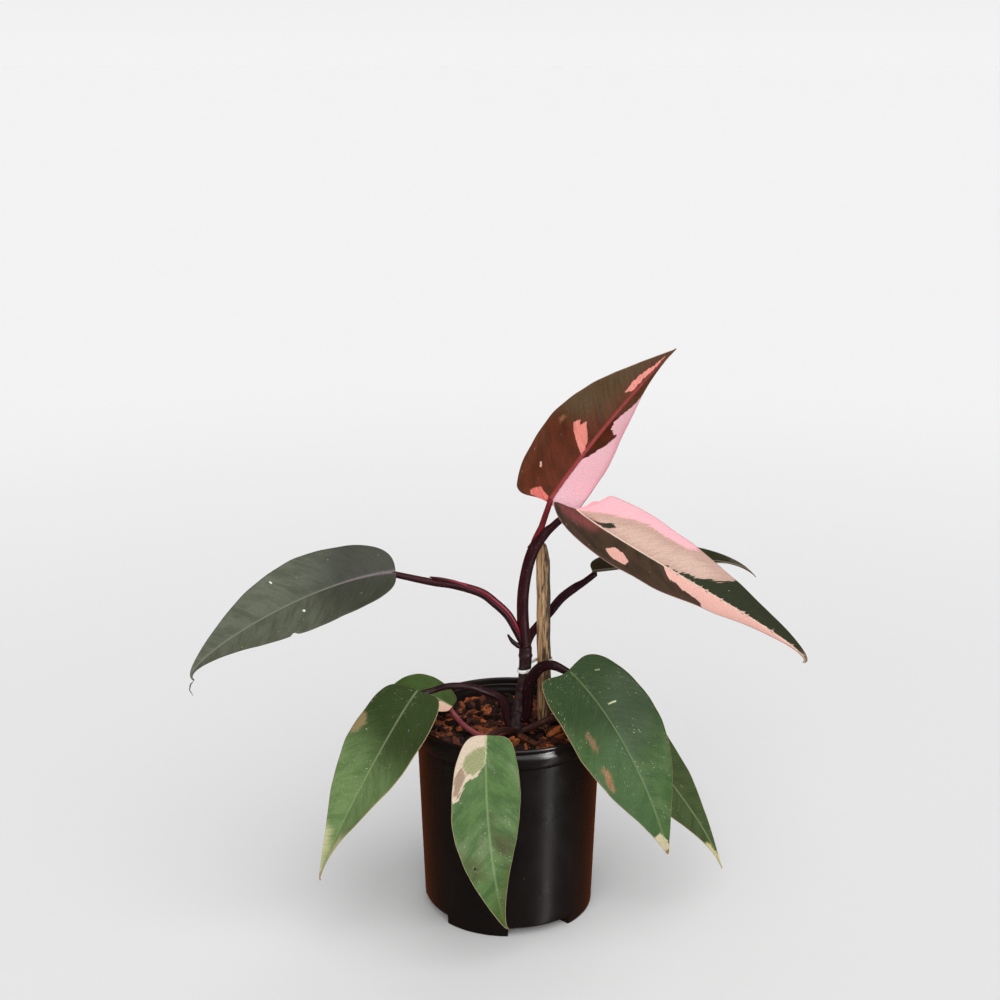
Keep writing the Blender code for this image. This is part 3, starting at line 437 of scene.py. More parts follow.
LEAVES = {
    "top": dict(
        midrib=[(30, -6, 338), (37, -2, 350), (86, 11, 414), (127, 14, 454)],
        facing=[(-0.16, 0.9, -0.03), (-0.5, 0.9, 0.28)],
        left=dict(width=39, fold=(22, 33), curl=9, lobe=0.075, widest=0.34, tip=1.3),
        right=dict(width=38, fold=(16, 17), curl=5, lobe=0.085, widest=0.36, tip=1.06),
        ground="#602812", ground_2="#4c220e", cloud_colour="#644026", cloud=0.5, vein=0.04,
        vein_colour="#7a4b33", under=0.0, over_colour="#2f3a22", shade=0.92, shine=0.2, turn=3.0,
        rib_colour="#94383a", rib_width=2.3, rib_strength=0.95, rib_until=0.7, rim_colour="#8c6a58",
        flecks=0.05, fleck_colour="#b08a72", gloss=0.38,
        layers=[
            # Painted sheen: a greenish-brown tone over the right half, from the middle to the tip, stands in
            # for a grey-green sheen
            patch([(50, -OUT), (64, -18), (90, -6), (156, -2), (156, -OUT)], "#5a4d30", "#4c3a24", 5.0,
                   12.0, 0.75),
            patch([(84, 0), (84, 9), (98, 14), (112, 18), (150, 9), (156, 0)], "#5a3822", "#70492f", 3.0),
            patch([(-20, 1.2), (42, 1.2), (50, 8), (56, 12), (66, 20), (73, 24), (73, 17), (74, 9), (80, 5),
                   (88, 8), (100, 14), (113, 18), (126, 14), (135, 9), (135, OUT), (-20, OUT)], "#ffccd5",
                   "#ffc3ce", 3.2),
            patch([(-20, 27), (10, 33), (40, 35), (70, 29), (95, 22), (120, 15), (136, 9), (136, OUT),
                   (-20, OUT)], "#fda9b8", "#f89aae", 1.0, 4.0, 0.6),
            patch([(44, 0), (49, -9), (55, -17), (60, -21), (66, -19), (62, -16), (67, -14), (62, -10),
                   (57, -4), (49, -1)], "#d87c70", "#e68f84", 1.6),
            patch([(-1, -1), (-1, -15), (2, -17), (7, -11), (4, -2)], "#c9584f", "#dd7f72", 1.6),
            patch([(102, -6), (113, -7), (121, -6), (131, -3.5), (143, -2), (132, -1), (121, -2),
                   (107, -2)], "#e08578", "#ef9c8f", 1.4),
            patch([(53, -28), (56, -32), (62, -32), (60, -28)], "#a8764f", "#8d5c3c", 2.2, 0.8, 0.6),
            patch([(22, -23), (18.5, -20.5), (19, -19.2), (22.6, -21.8)], "#e3b49a", "#e3b49a", 0.9),
        ]),
    "pink": dict(
        midrib=[(52, -2, 332), (72, -25, 316), (240.4, -43, 231), (221.0, -66, 230)],
        facing=[(0.57, -0.75, 0.4), (0.38, -0.8, 1.07)],
        left=dict(width=43, fold=(-6, -13), curl=-11, lobe=0.09, widest=0.34, tip=0.86),
        right=dict(width=42, fold=(14, 20), curl=25, lobe=0.08, widest=0.35, tip=1.35),
        ground="#483629", ground_2="#332b20", cloud_colour="#544336", cloud=0.6, vein=0.1,
        vein_colour="#6a5848", under=0.25, under_colour="#8b6f63", rib_colour="#e9d3bd", rib_width=0.9,
        rib_strength=0.85, rim_colour="#9a7168", flecks=0.05, gloss=0.45, shine=0.14,
        layers=[
            patch([(-30, 0), (240, 0), (240, OUT), (-30, OUT)], "#c9a799", "#b29183", 0.2),
            patch([(-30, -1), (1, -1), (16, 13), (39, 25), (56, 30), (74, 31), (90, 31), (98, 36),
                   (98, OUT), (-30, OUT)], "#fabcc3", "#f0a6af", 4.0, 2.0),
            patch([(20, 6), (60, 20), (100, 24), (120, 26), (112, 6), (70, 5), (40, 4)], "#ddc4b3",
                   "#c9a093", 11.0, 5.0, 0.6),
            patch([(12, 1), (22, 3), (33, 13), (31, 9), (35, 9), (30, 3), (26, 1)], "#33362a", "#2b3022",
                   1.2),
            patch([(78, 0), (92, 2), (109, 8), (122, 16), (134, 28), (140, OUT), (250, OUT), (250, 0)],
                   "#343a29", "#2a301f", 8.0),
            patch([(80, 0), (88, -10), (103, -17), (118, -23), (124, -OUT), (250, -OUT), (250, 0)],
                   "#ebb9ad", "#dda699", 4.5),
            patch([(37, -21), (42, -12), (49, -13), (56, -19), (56, -29), (49, -28), (43, -27)], "#e6b3a6",
                   "#d99d90", 1.6),
            patch([(-6, -20), (1, -3), (14, 1), (26, -1), (21, -10), (8, -15), (0, -23)], "#8f4a4b",
                   "#6d3534", 2.0, 6.0, 0.8),
            patch([(-30, -22), (4, -24), (14, -30), (24, -OUT), (-30, -OUT)], "#2b2a20", "#353123", 2.0,
                   5.0, 0.8),
            patch([(205, 0), (205, 8), (240, 8), (240, -8), (205, -8)], "#8a7a62", "#a08f76", 4.0, 6.0,
                   0.6),
        ]),
    "left": dict(
        midrib=[(-88, -6, 282), (-155, -19, 282), (-262, -29, 210), (-242, -44, 207)],
        facing=[(-0.05, -0.75, 0.75), (-0.37, -0.8, 0.52)],
        left=dict(width=32, fold=(8, 14), curl=6, lobe=0.01, widest=0.38, tip=1.23),
        right=dict(width=33, fold=(2, 10), curl=1, lobe=0.02, widest=0.38, tip=1.23),
        drip=[(-244.5, -45, 203.5), (-245.5, -45, 199), (-243, -45, 194.5)], nicks=[(1, 0.49, 2.6, 0.012)],
        ground="#5c6050", ground_2="#4b5040", cloud_colour="#454a39", cloud=0.5, vein=0.12,
        vein_colour="#7b7e6c", under=0.3, rib_colour="#86837a", rib_width=1.2, rib_strength=0.5, shine=0.45,
        rim_colour="#4e4a3a", flecks=0.03, gloss=0.4,
        layers=[
            # Painted shade: a broad dark zone with a 26 mm soft edge over the base of the blade
            patch([(-30, -OUT), (-30, OUT), (48, OUT), (66, 0), (44, -OUT)], "#2e3026", "#373a2e", 3.0,
                   26.0, 0.9),
            patch([(-20, -3), (-20, 3), (20, 1.4), (60, 0), (20, -1.4)], "#64505a", "#725f69", 0.5, 1.0,
                   0.6),
            patch([(91, -22), (93, -25), (94, -24.2), (92.4, -21.6)], "#dcdacb", "#dcdacb", 0.3, 0.2),
            patch([(76, 12), (77.5, 9.5), (79, 10.5), (77.4, 13)], "#dcdacb", "#dcdacb", 0.3, 0.2),
        ]),
    "rear": dict(
        midrib=[(66, 14, 277), (112, 23, 278), (178, 38, 289), (201, 46, 261)],
        facing=[(-0.09, -0.15, 1.06), (0.02, -0.15, 0.99)],
        left=dict(width=29, fold=(1, 9), curl=-2, lobe=0.02, widest=0.38, tip=1.15),
        right=dict(width=30, fold=(23, 14), curl=7, lobe=0.03, widest=0.38, tip=1.15),
        ground="#2c3622", ground_2="#232c1a", cloud=0.4, vein=0.1, vein_colour="#4d563c", under=0.4,
        under_colour="#6a5f54", rib_colour="#8a8a72", rim_colour="#9a8a78", flecks=0.04,
        layers=[
            patch([(118, -OUT), (118, OUT), (160, OUT), (160, -OUT)], "#3f3f35", "#6b6158", 4.0, 5.0, 0.8),
        ]),
    "low_left": dict(
        midrib=[(-71, -30, 193), (-90, -53, 177), (-158, -70, 42), (-147, -62, 47)],
        facing=[(-0.54, -0.9, 0.32), (-0.85, -0.95, 0.31)],
        left=dict(width=37, fold=(-2, 40), curl=18, lobe=0.05, widest=0.35, tip=1.37),
        right=dict(width=36, fold=(-7, 3), curl=-6, lobe=0.04, widest=0.35, tip=1.37),
        ground="#738b58", ground_2="#627c4a", cloud_colour="#57693f", cloud=0.5, vein=0.08, shine=0.2,
        vein_colour="#8b9a6c", rib_colour="#93a076", rib_width=1.3, rib_strength=0.5, flecks=0.35, turn=1.0,
        gloss=0.44,
        layers=[
            # Painted shade: a broad dark green zone with a 26 mm soft edge over the base of the blade
            patch([(-40, -OUT), (-40, OUT), (56, OUT), (66, 4), (44, -OUT)], "#2c3a1f", "#34431f", 6.0,
                   26.0, 0.95),
            patch([(38, -30), (44, -26), (56, -30), (66, -OUT), (34, -OUT)], "#a08763", "#8d7a55", 3.0, 2.0,
                   0.75),
            patch([(108, OUT), (128, 8), (146, 1.5), (160, 0), (146, -1.5), (132, -7), (118, -OUT),
                   (200, -OUT), (200, OUT)], "#c9c98d", "#e6dcb4", 4.0, 7.0, 0.8),
            patch([(164, OUT), (164, -OUT), (190, -OUT), (190, OUT)], "#b9863f", "#a06a30", 2.0, 2.0),
        ]),
    "small": dict(
        midrib=[(-45, 2, 166), (-66, 8, 176), (-83, 8, 190), (-111, 14, 142)],
        facing=[(0.2, -0.6, 1.1), (-0.41, -0.6, 0.65)],
        left=dict(width=25, fold=(24, 4), curl=11, lobe=0.04, widest=0.37, tip=1.37),
        right=dict(width=23, fold=(-14, -1), curl=-11, lobe=0.04, widest=0.37, tip=1.37),
        ground="#47602d", ground_2="#3c5526", cloud=0.4, vein=0.1, vein_colour="#6f8348",
        rib_colour="#b7b089", flecks=0.2,
        layers=[
            patch([(-12, -2), (-12, OUT), (20, OUT), (19, 12), (13, 6), (10, 1)], "#fbd3bb", "#f3c0a4",
                   1.5),
            patch([(22, 4), (27, 9), (33, 14), (27, 18), (21, 12)], "#d8c79e", "#e8d8b4", 2.5, 0.8, 0.8),
        ]),
    "front": dict(
        midrib=[(-17, -80, 177), (-21, -103, 112), (-4, -115.0, 27), (0, -104, 29)],
        facing=[(0.27, -0.9, 0.4), (0.25, -1.0, 0.12)],
        left=dict(width=27, fold=(4, -9), curl=-8, lobe=0.04, widest=0.33, tip=1.46),
        right=dict(width=30, fold=(16, 2), curl=4, lobe=0.03, widest=0.38, tip=1.17),
        ground="#638549", ground_2="#4d6f3a", cloud_colour="#93a077", cloud=0.75, vein=0.07,
        vein_colour="#7f9763", rib_colour="#8fa676", rib_width=1.6, rib_strength=0.45, rib_until=0.6,
        shade=0.7, shine=0.14, turn=2.0, flecks=0.6, fleck_colour="#e2e8c4", rim_colour="#b9a988",
        gloss=0.46,
        layers=[
            patch([(58, 2), (74, 4), (80, 18), (96, 20), (92, 6), (76, 2)], "#5f5138", "#4f4230", 5.0, 5.0,
                   0.6),
            patch([(85, -26), (104, -20), (110, -6), (92, -10)], "#62603a", "#545232", 5.0, 6.0, 0.6),
            patch([(108, OUT), (100, 12), (120, 0), (136, -6), (170, -OUT), (170, OUT)], "#4c5a22",
                   "#5b662c", 4.0, 10.0, 0.8),
            patch([(-10, 0.6), (18, 0.2), (25, -3), (30, -8), (32, -13), (34, -17), (38, -20), (46, -24),
                   (47, -31), (44, -OUT), (-10, -OUT)], "#f6e4cd", "#e6cfb3", 3.0),
            patch([(8, -1), (17, -0.6), (24, -3), (29, -10), (27, -17), (21, -20), (15, -17), (9, -8)],
                   "#a3a873", "#b4b586", 3.2, 0.8),
            patch([(22, -21), (28, -17), (33, -19), (43, -24), (43, -28), (31, -27)], "#a3846d", "#b99c83",
                   4.2, 1.0, 0.9),
            patch([(96, -14.5), (97, -16), (99, -15.5), (98.5, -13.5)], "#14140f", "#14140f", 0.2),
            patch([(116, -14), (121, -13), (125, -14), (124, -OUT), (117, -OUT)], "#e9e2c8", "#2b2a1c",
                   0.8),
        ]),
    "low_right": dict(
        midrib=[(46, -38, 213), (105, -66, 163), (127, -76, 59), (122, -76, 78)],
        facing=[(0.32, -0.85, 0.3), (0.52, -0.95, 0.38)],
        left=dict(width=39, fold=(3, -6), curl=-5, lobe=0.04, widest=0.4, tip=1.2),
        right=dict(width=41, fold=(10, 10), curl=6, lobe=0.11, widest=0.4, tip=1.2),
        ground="#54743f", ground_2="#456435", cloud_colour="#6f8558", cloud=0.7, vein=0.07,
        vein_colour="#5f7849", rib_colour="#7d8f63", rib_width=1.3, rib_strength=0.4, flecks=0.75, turn=4.0,
        shade=0.7, shine=0.14, fleck_colour="#dfe3bd", gloss=0.4,
        layers=[
            # Painted shade: a broad dark green zone with a 24 mm soft edge over the base of the blade
            patch([(-40, -OUT), (-40, OUT), (70, OUT), (84, 0), (60, -14), (30, -OUT)], "#2e4422",
                   "#3a522b", 6.0, 24.0, 0.9),
            patch([(60, 2), (100, -2), (150, -2), (170, -OUT), (80, -OUT), (64, -16)], "#5f7a55", "#4c6a42",
                   5.0, 9.0, 0.6),
            patch([(46, -23), (51, -21), (62, -22), (64, -25), (56, -27), (48, -26)], "#8d6f4d", "#a98260",
                   4.0, 1.6, 0.8),
            patch([(76, -27), (84, -25), (97, -27), (98, -30), (88, -32), (78, -30)], "#a9764f", "#c99673",
                   4.0, 1.6, 0.85),
            patch([(38.4, 6.5), (39.6, 6), (41.4, 13), (40.2, 13.6)], "#dbe0b8", "#dbe0b8", 0.4, 0.25),
            patch([(13, 15), (14, 14.4), (16.4, 18), (15.2, 18.6)], "#a9ab82", "#a9ab82", 0.5, 0.3),
            patch([(160, 4), (150, 1.5), (146, -1.5), (150, -OUT), (162, -OUT)], "#eee2bd", "#dcc79a", 1.6,
                   0.8, 0.9),
            patch([(161, OUT), (162, -OUT), (190, -OUT), (190, OUT)], "#a5814f", "#86643c", 2.0, 1.5),
        ]),
    "far_right": dict(
        midrib=[(88, -4, 175), (101, -10, 132), (150, -14, 95), (174, -16, 32)],
        facing=[(0.41, -0.6, 0.78), (0.7, -0.8, 0.39)],
        left=dict(width=32, fold=(-5, -7), curl=-11, lobe=0.06, widest=0.35, tip=1.46),
        right=dict(width=33, fold=(4, 11), curl=4, lobe=0.06, widest=0.35, tip=1.46),
        ground="#455730", ground_2="#3a4b28", cloud=0.5, vein=0.1, vein_colour="#64744a",
        rib_colour="#8b9668", rib_strength=0.6, flecks=0.2, rim_colour="#a88f66", gloss=0.45,
        layers=[
            patch([(128, -OUT), (140, -4), (152, 1), (162, 4), (170, OUT), (200, OUT), (200, -OUT)],
                   "#ddd39a", "#c6b676", 3.0, 1.5, 0.85),
        ]),
}
for leaf_name, leaf in LEAVES.items():
    make_leaf(leaf_name, leaf)

# Petioles: nine fleshy stalks, each round below and channelled above. The lower part of the
# long ones is a sheath that once wrapped the next leaf, and it ends in a step or a free point.
TUBE_SIDES = 28
TURNED_OVER = [0, 3, 2, 1]
JOIN_PAST_BASE = 4.0
SHEATH_POINT_RADII = [1.8, 1.9, 1.4, 0.5]
SHEATH_LEAST_SHARE = 0.93
STALK_STEP = 1.6
POINT_STEP = 1.2

PETIOLES = {
    "pink": dict(
        points=[(13, -9, 220), (11, -9, 243), (11, -10, 264), (14, -10, 285), (19, -9, 301),
                (26, -8, 312), (33, -6, 318), (41, -4, 324)],
        radii=[5.0, 4.7, 4.6, 4.5, 4.5, 4.3, 3.0, 2.8, 2.6], channel=(-0.8, -0.4, 0.2), depth=0.35,
        point=[(15, -9.5, 301), (21, -9.5, 309.5), (26, -9.5, 315.5), (30, -9.5, 320.5)],
        skin="#2a0f13", streak="#4a1c24", inside="#5a1820"),
    "top": dict(
        points=[(18, -9, 300), (20, -8, 308), (25, -8, 319), (28, -10.5, 329)],
        radii=[2.6, 2.5, 2.4, 2.3, 2.2], channel=(0.2, 1.0, 0.2), depth=0.1,
        skin="#6a181d", streak="#8a2f36", inside="#4a1015"),
    "left": dict(
        points=[(12, -9, 222), (6, -10, 235), (-1, -11, 248), (-11, -11, 258), (-22, -10, 266),
                (-42, -9, 272), (-61, -7, 274)],
        radii=[2.9, 3.2, 3.4, 3.5, 3.4, 3.3, 2.8, 2.4], channel=(0.5, -0.75, 0.9), depth=0.4,
        point=[(-32, -10, 271), (-43, -9.5, 274.5), (-53, -9, 277), (-62, -8, 278.5)],
        skin="#2b1014", streak="#481e26", inside="#c2304c"),
    "rear": dict(
        points=[(14, -7, 222), (18, 4, 227), (25, 14, 232), (33, 16, 241), (42, 15, 253),
                (53, 15, 262), (60, 14, 267)],
        radii=[3.3, 3.4, 3.4, 3.4, 3.4, 3.3, 2.6, 2.4], channel=(-0.7, -0.5, 0.7), depth=0.35,
        point=[(36, 14.5, 247), (43, 14, 256), (48, 14, 261), (52.5, 14, 266)],
        skin="#240e13", streak="#3c1c25", inside="#46202a"),
    "low_left": dict(
        points=[(3, -14, 156), (-1, -14, 161), (-3, -15, 172), (-8, -16, 181), (-19, -18, 187),
                (-30, -21, 192), (-46, -24, 194), (-60, -25, 190.5)],
        radii=[3.6, 3.4, 3.4, 3.2, 3.0, 2.8, 2.5, 2.4, 2.3], channel=(0.1, -0.8, 1.0), depth=0.35,
        skin="#240f13", streak="#3f2428", inside="#351a1e"),
    "small": dict(
        points=[(2, -14, 152), (-12, -22, 152.4), (-21, -27, 153), (-31, -18, 154.5), (-39, -6, 156.5)],
        radii=[2.4, 2.4, 2.3, 2.2, 2.1, 2.0], channel=(0.0, 0.2, 1.0), depth=0.15,
        skin="#8a4048", streak="#b8686e", inside="#a8565c"),
    "front": dict(
        points=[(5, -15, 152), (3, -24, 156), (-3, -42, 165), (-10, -62, 172)],
        radii=[2.9, 2.8, 2.7, 2.6, 2.5], channel=(0.0, 0.3, 1.0), depth=0.2,
        skin="#38201d", streak="#54372e", inside="#44261f"),
    "low_right": dict(
        points=[(9, -14, 160), (14, -15, 167), (15, -17, 179), (16, -19, 193), (20, -22, 203),
                (26, -26, 211), (35, -31, 214)],
        radii=[3.8, 4.2, 4.3, 4.3, 4.3, 4.3, 3.9, 2.8], channel=(0.0, 0.6, 1.0), depth=0.3,
        skin="#200d11", streak="#38191f", inside="#2a1216"),
    "far_right": dict(
        points=[(7, -13, 151), (17, -12, 154), (29, -11, 159), (44, -7, 164), (62, -1, 168.5),
                (77, 3, 171)],
        radii=[3.0, 3.0, 3.0, 2.8, 2.6, 2.5, 2.4], channel=(0.0, 0.3, 1.0), depth=0.25,
        skin="#3a201b", streak="#5b3a30", inside="#2c1814"),
}


def smooth_path(points, values, step):
    """A Catmull-Rom curve through the points, sampled about every step mm, with values carried along."""
    knots = np.array(points, float)
    ends = np.vstack([2 * knots[0] - knots[1], knots, 2 * knots[-1] - knots[-2]])
    samples, carried = [], []
    for i in range(len(knots) - 1):
        a, b, c, d = ends[i:i + 4]
        t = np.linspace(0, 1, max(3, round(np.linalg.norm(c - b) / step)), endpoint=False)[:, None]
        samples.append(0.5 * (2 * b + (c - a) * t + (2 * a - 5 * b + 4 * c - d) * t ** 2
                              + (3 * b - a - 3 * c + d) * t ** 3))
        carried.append(values[i] * (1 - t[:, 0]) + values[i + 1] * t[:, 0])
    return np.vstack([*samples, knots[-1:]]), np.r_[np.concatenate(carried), values[-1]]


def ring_quads(rows, columns):
    """Quads round a tube of stacked rings of points, numbered ring by ring."""
    numbers = np.arange(rows * columns).reshape(rows, columns)
    around = np.concatenate([numbers, numbers[:, :1]], axis=1)
    quads = np.stack([around[:-1, :-1], around[:-1, 1:], around[1:, 1:], around[1:, :-1]], axis=-1)
    return quads.reshape(-1, 4)


def tube_faces(rows, columns):
    """The quads round a tube, and quads across both end rings that pair the points of each side."""
    numbers = np.arange(rows * columns).reshape(rows, columns)
    pairs = np.arange(columns // 2 - 1)
    caps = [np.stack([ring[pairs], ring[pairs + 1], ring[-pairs - 2], ring[-pairs - 1]], axis=1)
            for ring in (numbers[0][::-1], numbers[-1])]
    return np.concatenate([ring_quads(rows, columns), *caps])


def stalk(path, radii, channel, depth, reach):
    """A round section carried along a path and closed at both ends with a dome.

    The section's radius is r (1 - depth g), with g a bell round the channel's direction that is
    full along the sheath and dies away past reach, a share of the length.
    Returns points, faces, attributes and UVs.
    """
    slope = np.gradient(path, axis=0)
    slope /= np.linalg.norm(slope, axis=1, keepdims=True)
    run = np.r_[0, np.cumsum(np.linalg.norm(np.diff(path, axis=0), axis=1))]
    towards = np.array(channel, float) - slope * (slope @ np.array(channel, float))[:, None]
    towards /= np.linalg.norm(towards, axis=1, keepdims=True)
    beside = np.cross(slope, towards)
    angle = np.linspace(0, 2 * np.pi, TUBE_SIDES, endpoint=False)
    bell = np.exp(-(np.minimum(angle, 2 * np.pi - angle) / 0.5) ** 2)
    rims = 0.35 * np.exp(-((np.minimum(angle, 2 * np.pi - angle) - 1.0) / 0.35) ** 2)
    held = 0.35 + 0.65 / (1 + np.exp((run / run[-1] - reach) * 40))
    dome = np.clip(np.minimum(run, run[-1] - run) / 1.2, 0, 1)
    shrink = np.sqrt(1 - (1 - dome) ** 2) * 0.98 + 0.02
    radius = (radii * shrink)[:, None] * (1 - depth * held[:, None] * (bell - rims)[None])
    points = (path[:, None] + radius[..., None] * (np.cos(angle)[None, :, None] * towards[:, None]
                                                   + np.sin(angle)[None, :, None] * beside[:, None]))
    attributes = {"inside": (bell[None] ** 2 * (held * (1 - run / run[-1]))[:, None]).ravel()}
    turn = np.abs(np.pi - angle)
    uv = np.stack(np.broadcast_arrays(turn[None] * 4.0, run[:, None]), axis=-1).reshape(-1, 2) / 100
    return points.reshape(-1, 3), tube_faces(len(path), TUBE_SIDES), attributes, uv


def stalk_skin(name, skin_code, streak_code, inside_code, inside_share=0.9):
    """Smooth wine red plant skin with fine lengthwise streaks, dark blotches and a few pale pores."""
    skin, tree, shader = blank(name, 0.36, IOR=1.45, Specular_IOR_Level=0.22)
    flat = add(tree, "UVMap", uv_map="flat")
    placed = add(tree, "Mapping", {"Vector": flat, "Scale": (100 / 0.7, 100 / 14.0, 1.0)})
    streak = add(tree, "TexNoise", {"Vector": placed, "Scale": 1.0, "Detail": 3.0})
    share = add(tree, "MapRange", {"Value": streak, "From Min": 0.45, "From Max": 0.72, "To Max": 0.75})
    colour = add(tree, "Mix", {0: share, 6: linear(skin_code), 7: linear(streak_code)}, **COLOUR)
    placed = add(tree, "Mapping", {"Vector": flat, "Scale": (100 / 8.0, 100 / 22.0, 1.0)})
    blotch = add(tree, "TexNoise", {"Vector": placed, "Scale": 1.0, "Detail": 4.0})
    share = add(tree, "MapRange", {"Value": blotch, "From Min": 0.5, "From Max": 0.75, "To Max": 0.5})
    colour = add(tree, "Mix", {0: share, 6: colour, 7: linear("#1c0e12")}, **COLOUR)
    inside = add(tree, "Attribute", attribute_name="inside")
    share = add(tree, "Math", (inside, inside_share), operation="MULTIPLY")
    colour = add(tree, "Mix", {0: share, 6: colour, 7: linear(inside_code)}, **COLOUR)
    placed = add(tree, "Mapping", {"Vector": flat, "Scale": (100 / 2.4, 100 / 3.6, 1.0)})
    cells = add(tree, "TexVoronoi", {"Vector": placed, "Scale": 1.0})
    pore = add(tree, "Math", (cells, 0.1), operation="LESS_THAN")
    share = add(tree, "Math", (pore, 0.35), operation="MULTIPLY")
    colour = add(tree, "Mix", {0: share, 6: colour, 7: linear("#b79a94")}, **COLOUR)
    bump = add(tree, "Bump", {"Height": streak, "Strength": 0.3, "Distance": 0.2 * MM})
    fill(tree, shader, {"Base Color": colour, "Normal": bump})
    return skin


def petiole_end(leaf, radius):
    """Where a petiole meets the blade: past its base, sunk into the raised midrib."""
    rib = np.array(leaf["midrib"], float)
    forward = bezier_forward(rib, np.zeros(1))[0]
    up = np.array(leaf["facing"][0], float)
    up -= forward * np.dot(up, forward)
    up /= np.linalg.norm(up)
    return rib[0] + forward * JOIN_PAST_BASE - up * (0.6 + 0.75 * radius)


for stalk_name, petiole in PETIOLES.items():
    last = petiole_end(LEAVES[stalk_name], petiole["radii"][-1])
    path, radii = smooth_path([*petiole["points"], last], petiole["radii"], STALK_STEP)
    widest = max(petiole["radii"])
    sheath = sum(r > widest * SHEATH_LEAST_SHARE for r in petiole["radii"]) / len(petiole["radii"])
    points, faces, attributes, uv = stalk(path, radii, petiole["channel"], petiole["depth"], sheath)
    if "point" in petiole:
        path, radii = smooth_path(petiole["point"], SHEATH_POINT_RADII, POINT_STEP)
        more = stalk(path, radii, petiole["channel"], 0.0, 0.5)
        faces = np.concatenate([faces, more[1] + len(points)])
        points, uv = np.concatenate([points, more[0]]), np.concatenate([uv, more[3]])
        attributes = {key: np.r_[values, more[2][key]] for key, values in attributes.items()}
    skin = stalk_skin(f"petiole skin {stalk_name}", petiole["skin"], petiole["streak"], petiole["inside"])
    piece = finished(f"stalk_{stalk_name}", points, faces, skin, attributes, uv)
    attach(piece, "root")
    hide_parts(f"petiole_{stalk_name}")

# Main stem: a short upright stem, corky and grey-purple below and wine red above, with a ring
# where each old leaf was. A dried stub of a sheath stands off its left side.
STEM_POINTS = [(5, -13, 114), (5, -13, 148), (6, -13, 161), (9, -12, 177), (12, -11, 194), (13, -10, 210),
               (13, -9, 222)]
STEM_RADII = [5.0, 5.4, 5.2, 5.0, 4.9, 5.0, 5.2]
STEM_NODES = (155.0, 170.0, 187.0, 214.0)
STEM_NODE_RISE = 0.6
STEM_NODE_SPREAD = 1.6
STEM_STEP = 0.8
CORK_TOP = 235.0
CORK_FULL = 165.0
STUB_POINTS = [(9, -12, 222), (3, -13, 227), (-1, -13, 233)]
STUB_RADII = [2.2, 1.8, 0.8]


def stem_skin():
    """Stem skin: lengthwise streaks, corky and grey at the foot, passing to dark wine red above."""
    skin = stalk_skin("stem skin", "#260f14", "#3f2428", "#260f14", 0.0)
    tree = skin.node_tree
    shader = tree.nodes["Principled BSDF"]
    upper = shader.inputs["Base Color"].links[0].from_socket
    where = add(tree, "TexCoord")
    height = add(tree, "SeparateXYZ", (where,)).outputs[2]
    cork = add(tree, "TexNoise", {"Vector": where, "Scale": 1 / 0.003, "Detail": 6.0})
    share = add(tree, "MapRange", (cork, 0.4, 0.65))
    corky = add(tree, "Mix", {0: share, 6: linear("#2a1f20"), 7: linear("#4f4343")}, **COLOUR)
    share = add(tree, "MapRange", (height, CORK_TOP * MM, CORK_FULL * MM, 0.0, 0.75))
    fill(tree, shader, {"Base Color": add(tree, "Mix", {0: share, 6: upper, 7: corky}, **COLOUR)})
    return skin


stem_path, stem_radii = smooth_path(STEM_POINTS, STEM_RADII, STEM_STEP)
rings = sum(np.exp(-((stem_path[:, 2] - z) / STEM_NODE_SPREAD) ** 2) for z in STEM_NODES)
stem = stalk(stem_path, stem_radii + STEM_NODE_RISE * rings, (-1, 0, 0), 0.03, 1.0)
stub = stalk(*smooth_path(STUB_POINTS, STUB_RADII, STEM_STEP), (0, 0, 1), 0.2, 1.0)
shared_skin = stem_skin()
for piece_name, (points, faces, attributes, uv) in (("stem", stem), ("stem_stub", stub)):
    piece = finished(piece_name, points, faces, shared_skin, attributes, uv)
    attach(piece, "root")
    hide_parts("main_stem")

# Stake: a split length of bamboo pushed into the mix beside the stem, tan with dark stains, and
# darker towards its right side. Its top is broken to a blunt point.
STAKE_SIZE = (11.5, 6.5)
STAKE_FOOT = (30.5, 7.2, 40.0)
STAKE_TOP = (26.6, 4.2, 302.0)
STAKE_CORNER_POWER = 0.6
STAKE_POINT_LENGTH = 14.0
STAKE_SIDES = 40
STAKE_ROWS = 220


def stake_surface():
    """A squared-off round section, |cos| and |sin| to the power 0.6, carried up a straight line, its
    sides uneven by slow waves. The top draws in over the last 14 mm to a blunt, slanting point."""
    t = np.linspace(0, 1, STAKE_ROWS)[:, None]
    angle = np.linspace(0, 2 * np.pi, STAKE_SIDES, endpoint=False)[None]
    foot, top = np.array(STAKE_FOOT), np.array(STAKE_TOP)
    length = np.linalg.norm(top - foot)
    from_top = (1 - t) * length
    pinch = 0.25 + 0.75 * np.sqrt(np.clip(from_top / STAKE_POINT_LENGTH, 0, 1))
    wave = 1 - 0.045 * (1 + np.sin(t * 21 + 2 * angle) * np.sin(t * 47 + angle))
    furrow = 1 - 0.02 * (1 + np.sin(angle * 9 + np.sin(t * 30)))
    square_x = np.sign(np.cos(angle)) * np.abs(np.cos(angle)) ** STAKE_CORNER_POWER
    square_y = np.sign(np.sin(angle)) * np.abs(np.sin(angle)) ** STAKE_CORNER_POWER
    x = square_x * STAKE_SIZE[0] / 2 * wave * furrow * pinch
    y = square_y * STAKE_SIZE[1] / 2 * wave * furrow
    y = y * (0.6 + 0.4 * pinch)
    middle = foot + (top - foot) * t[..., None]
    return middle + np.stack([x, y, 0 * x], axis=-1)


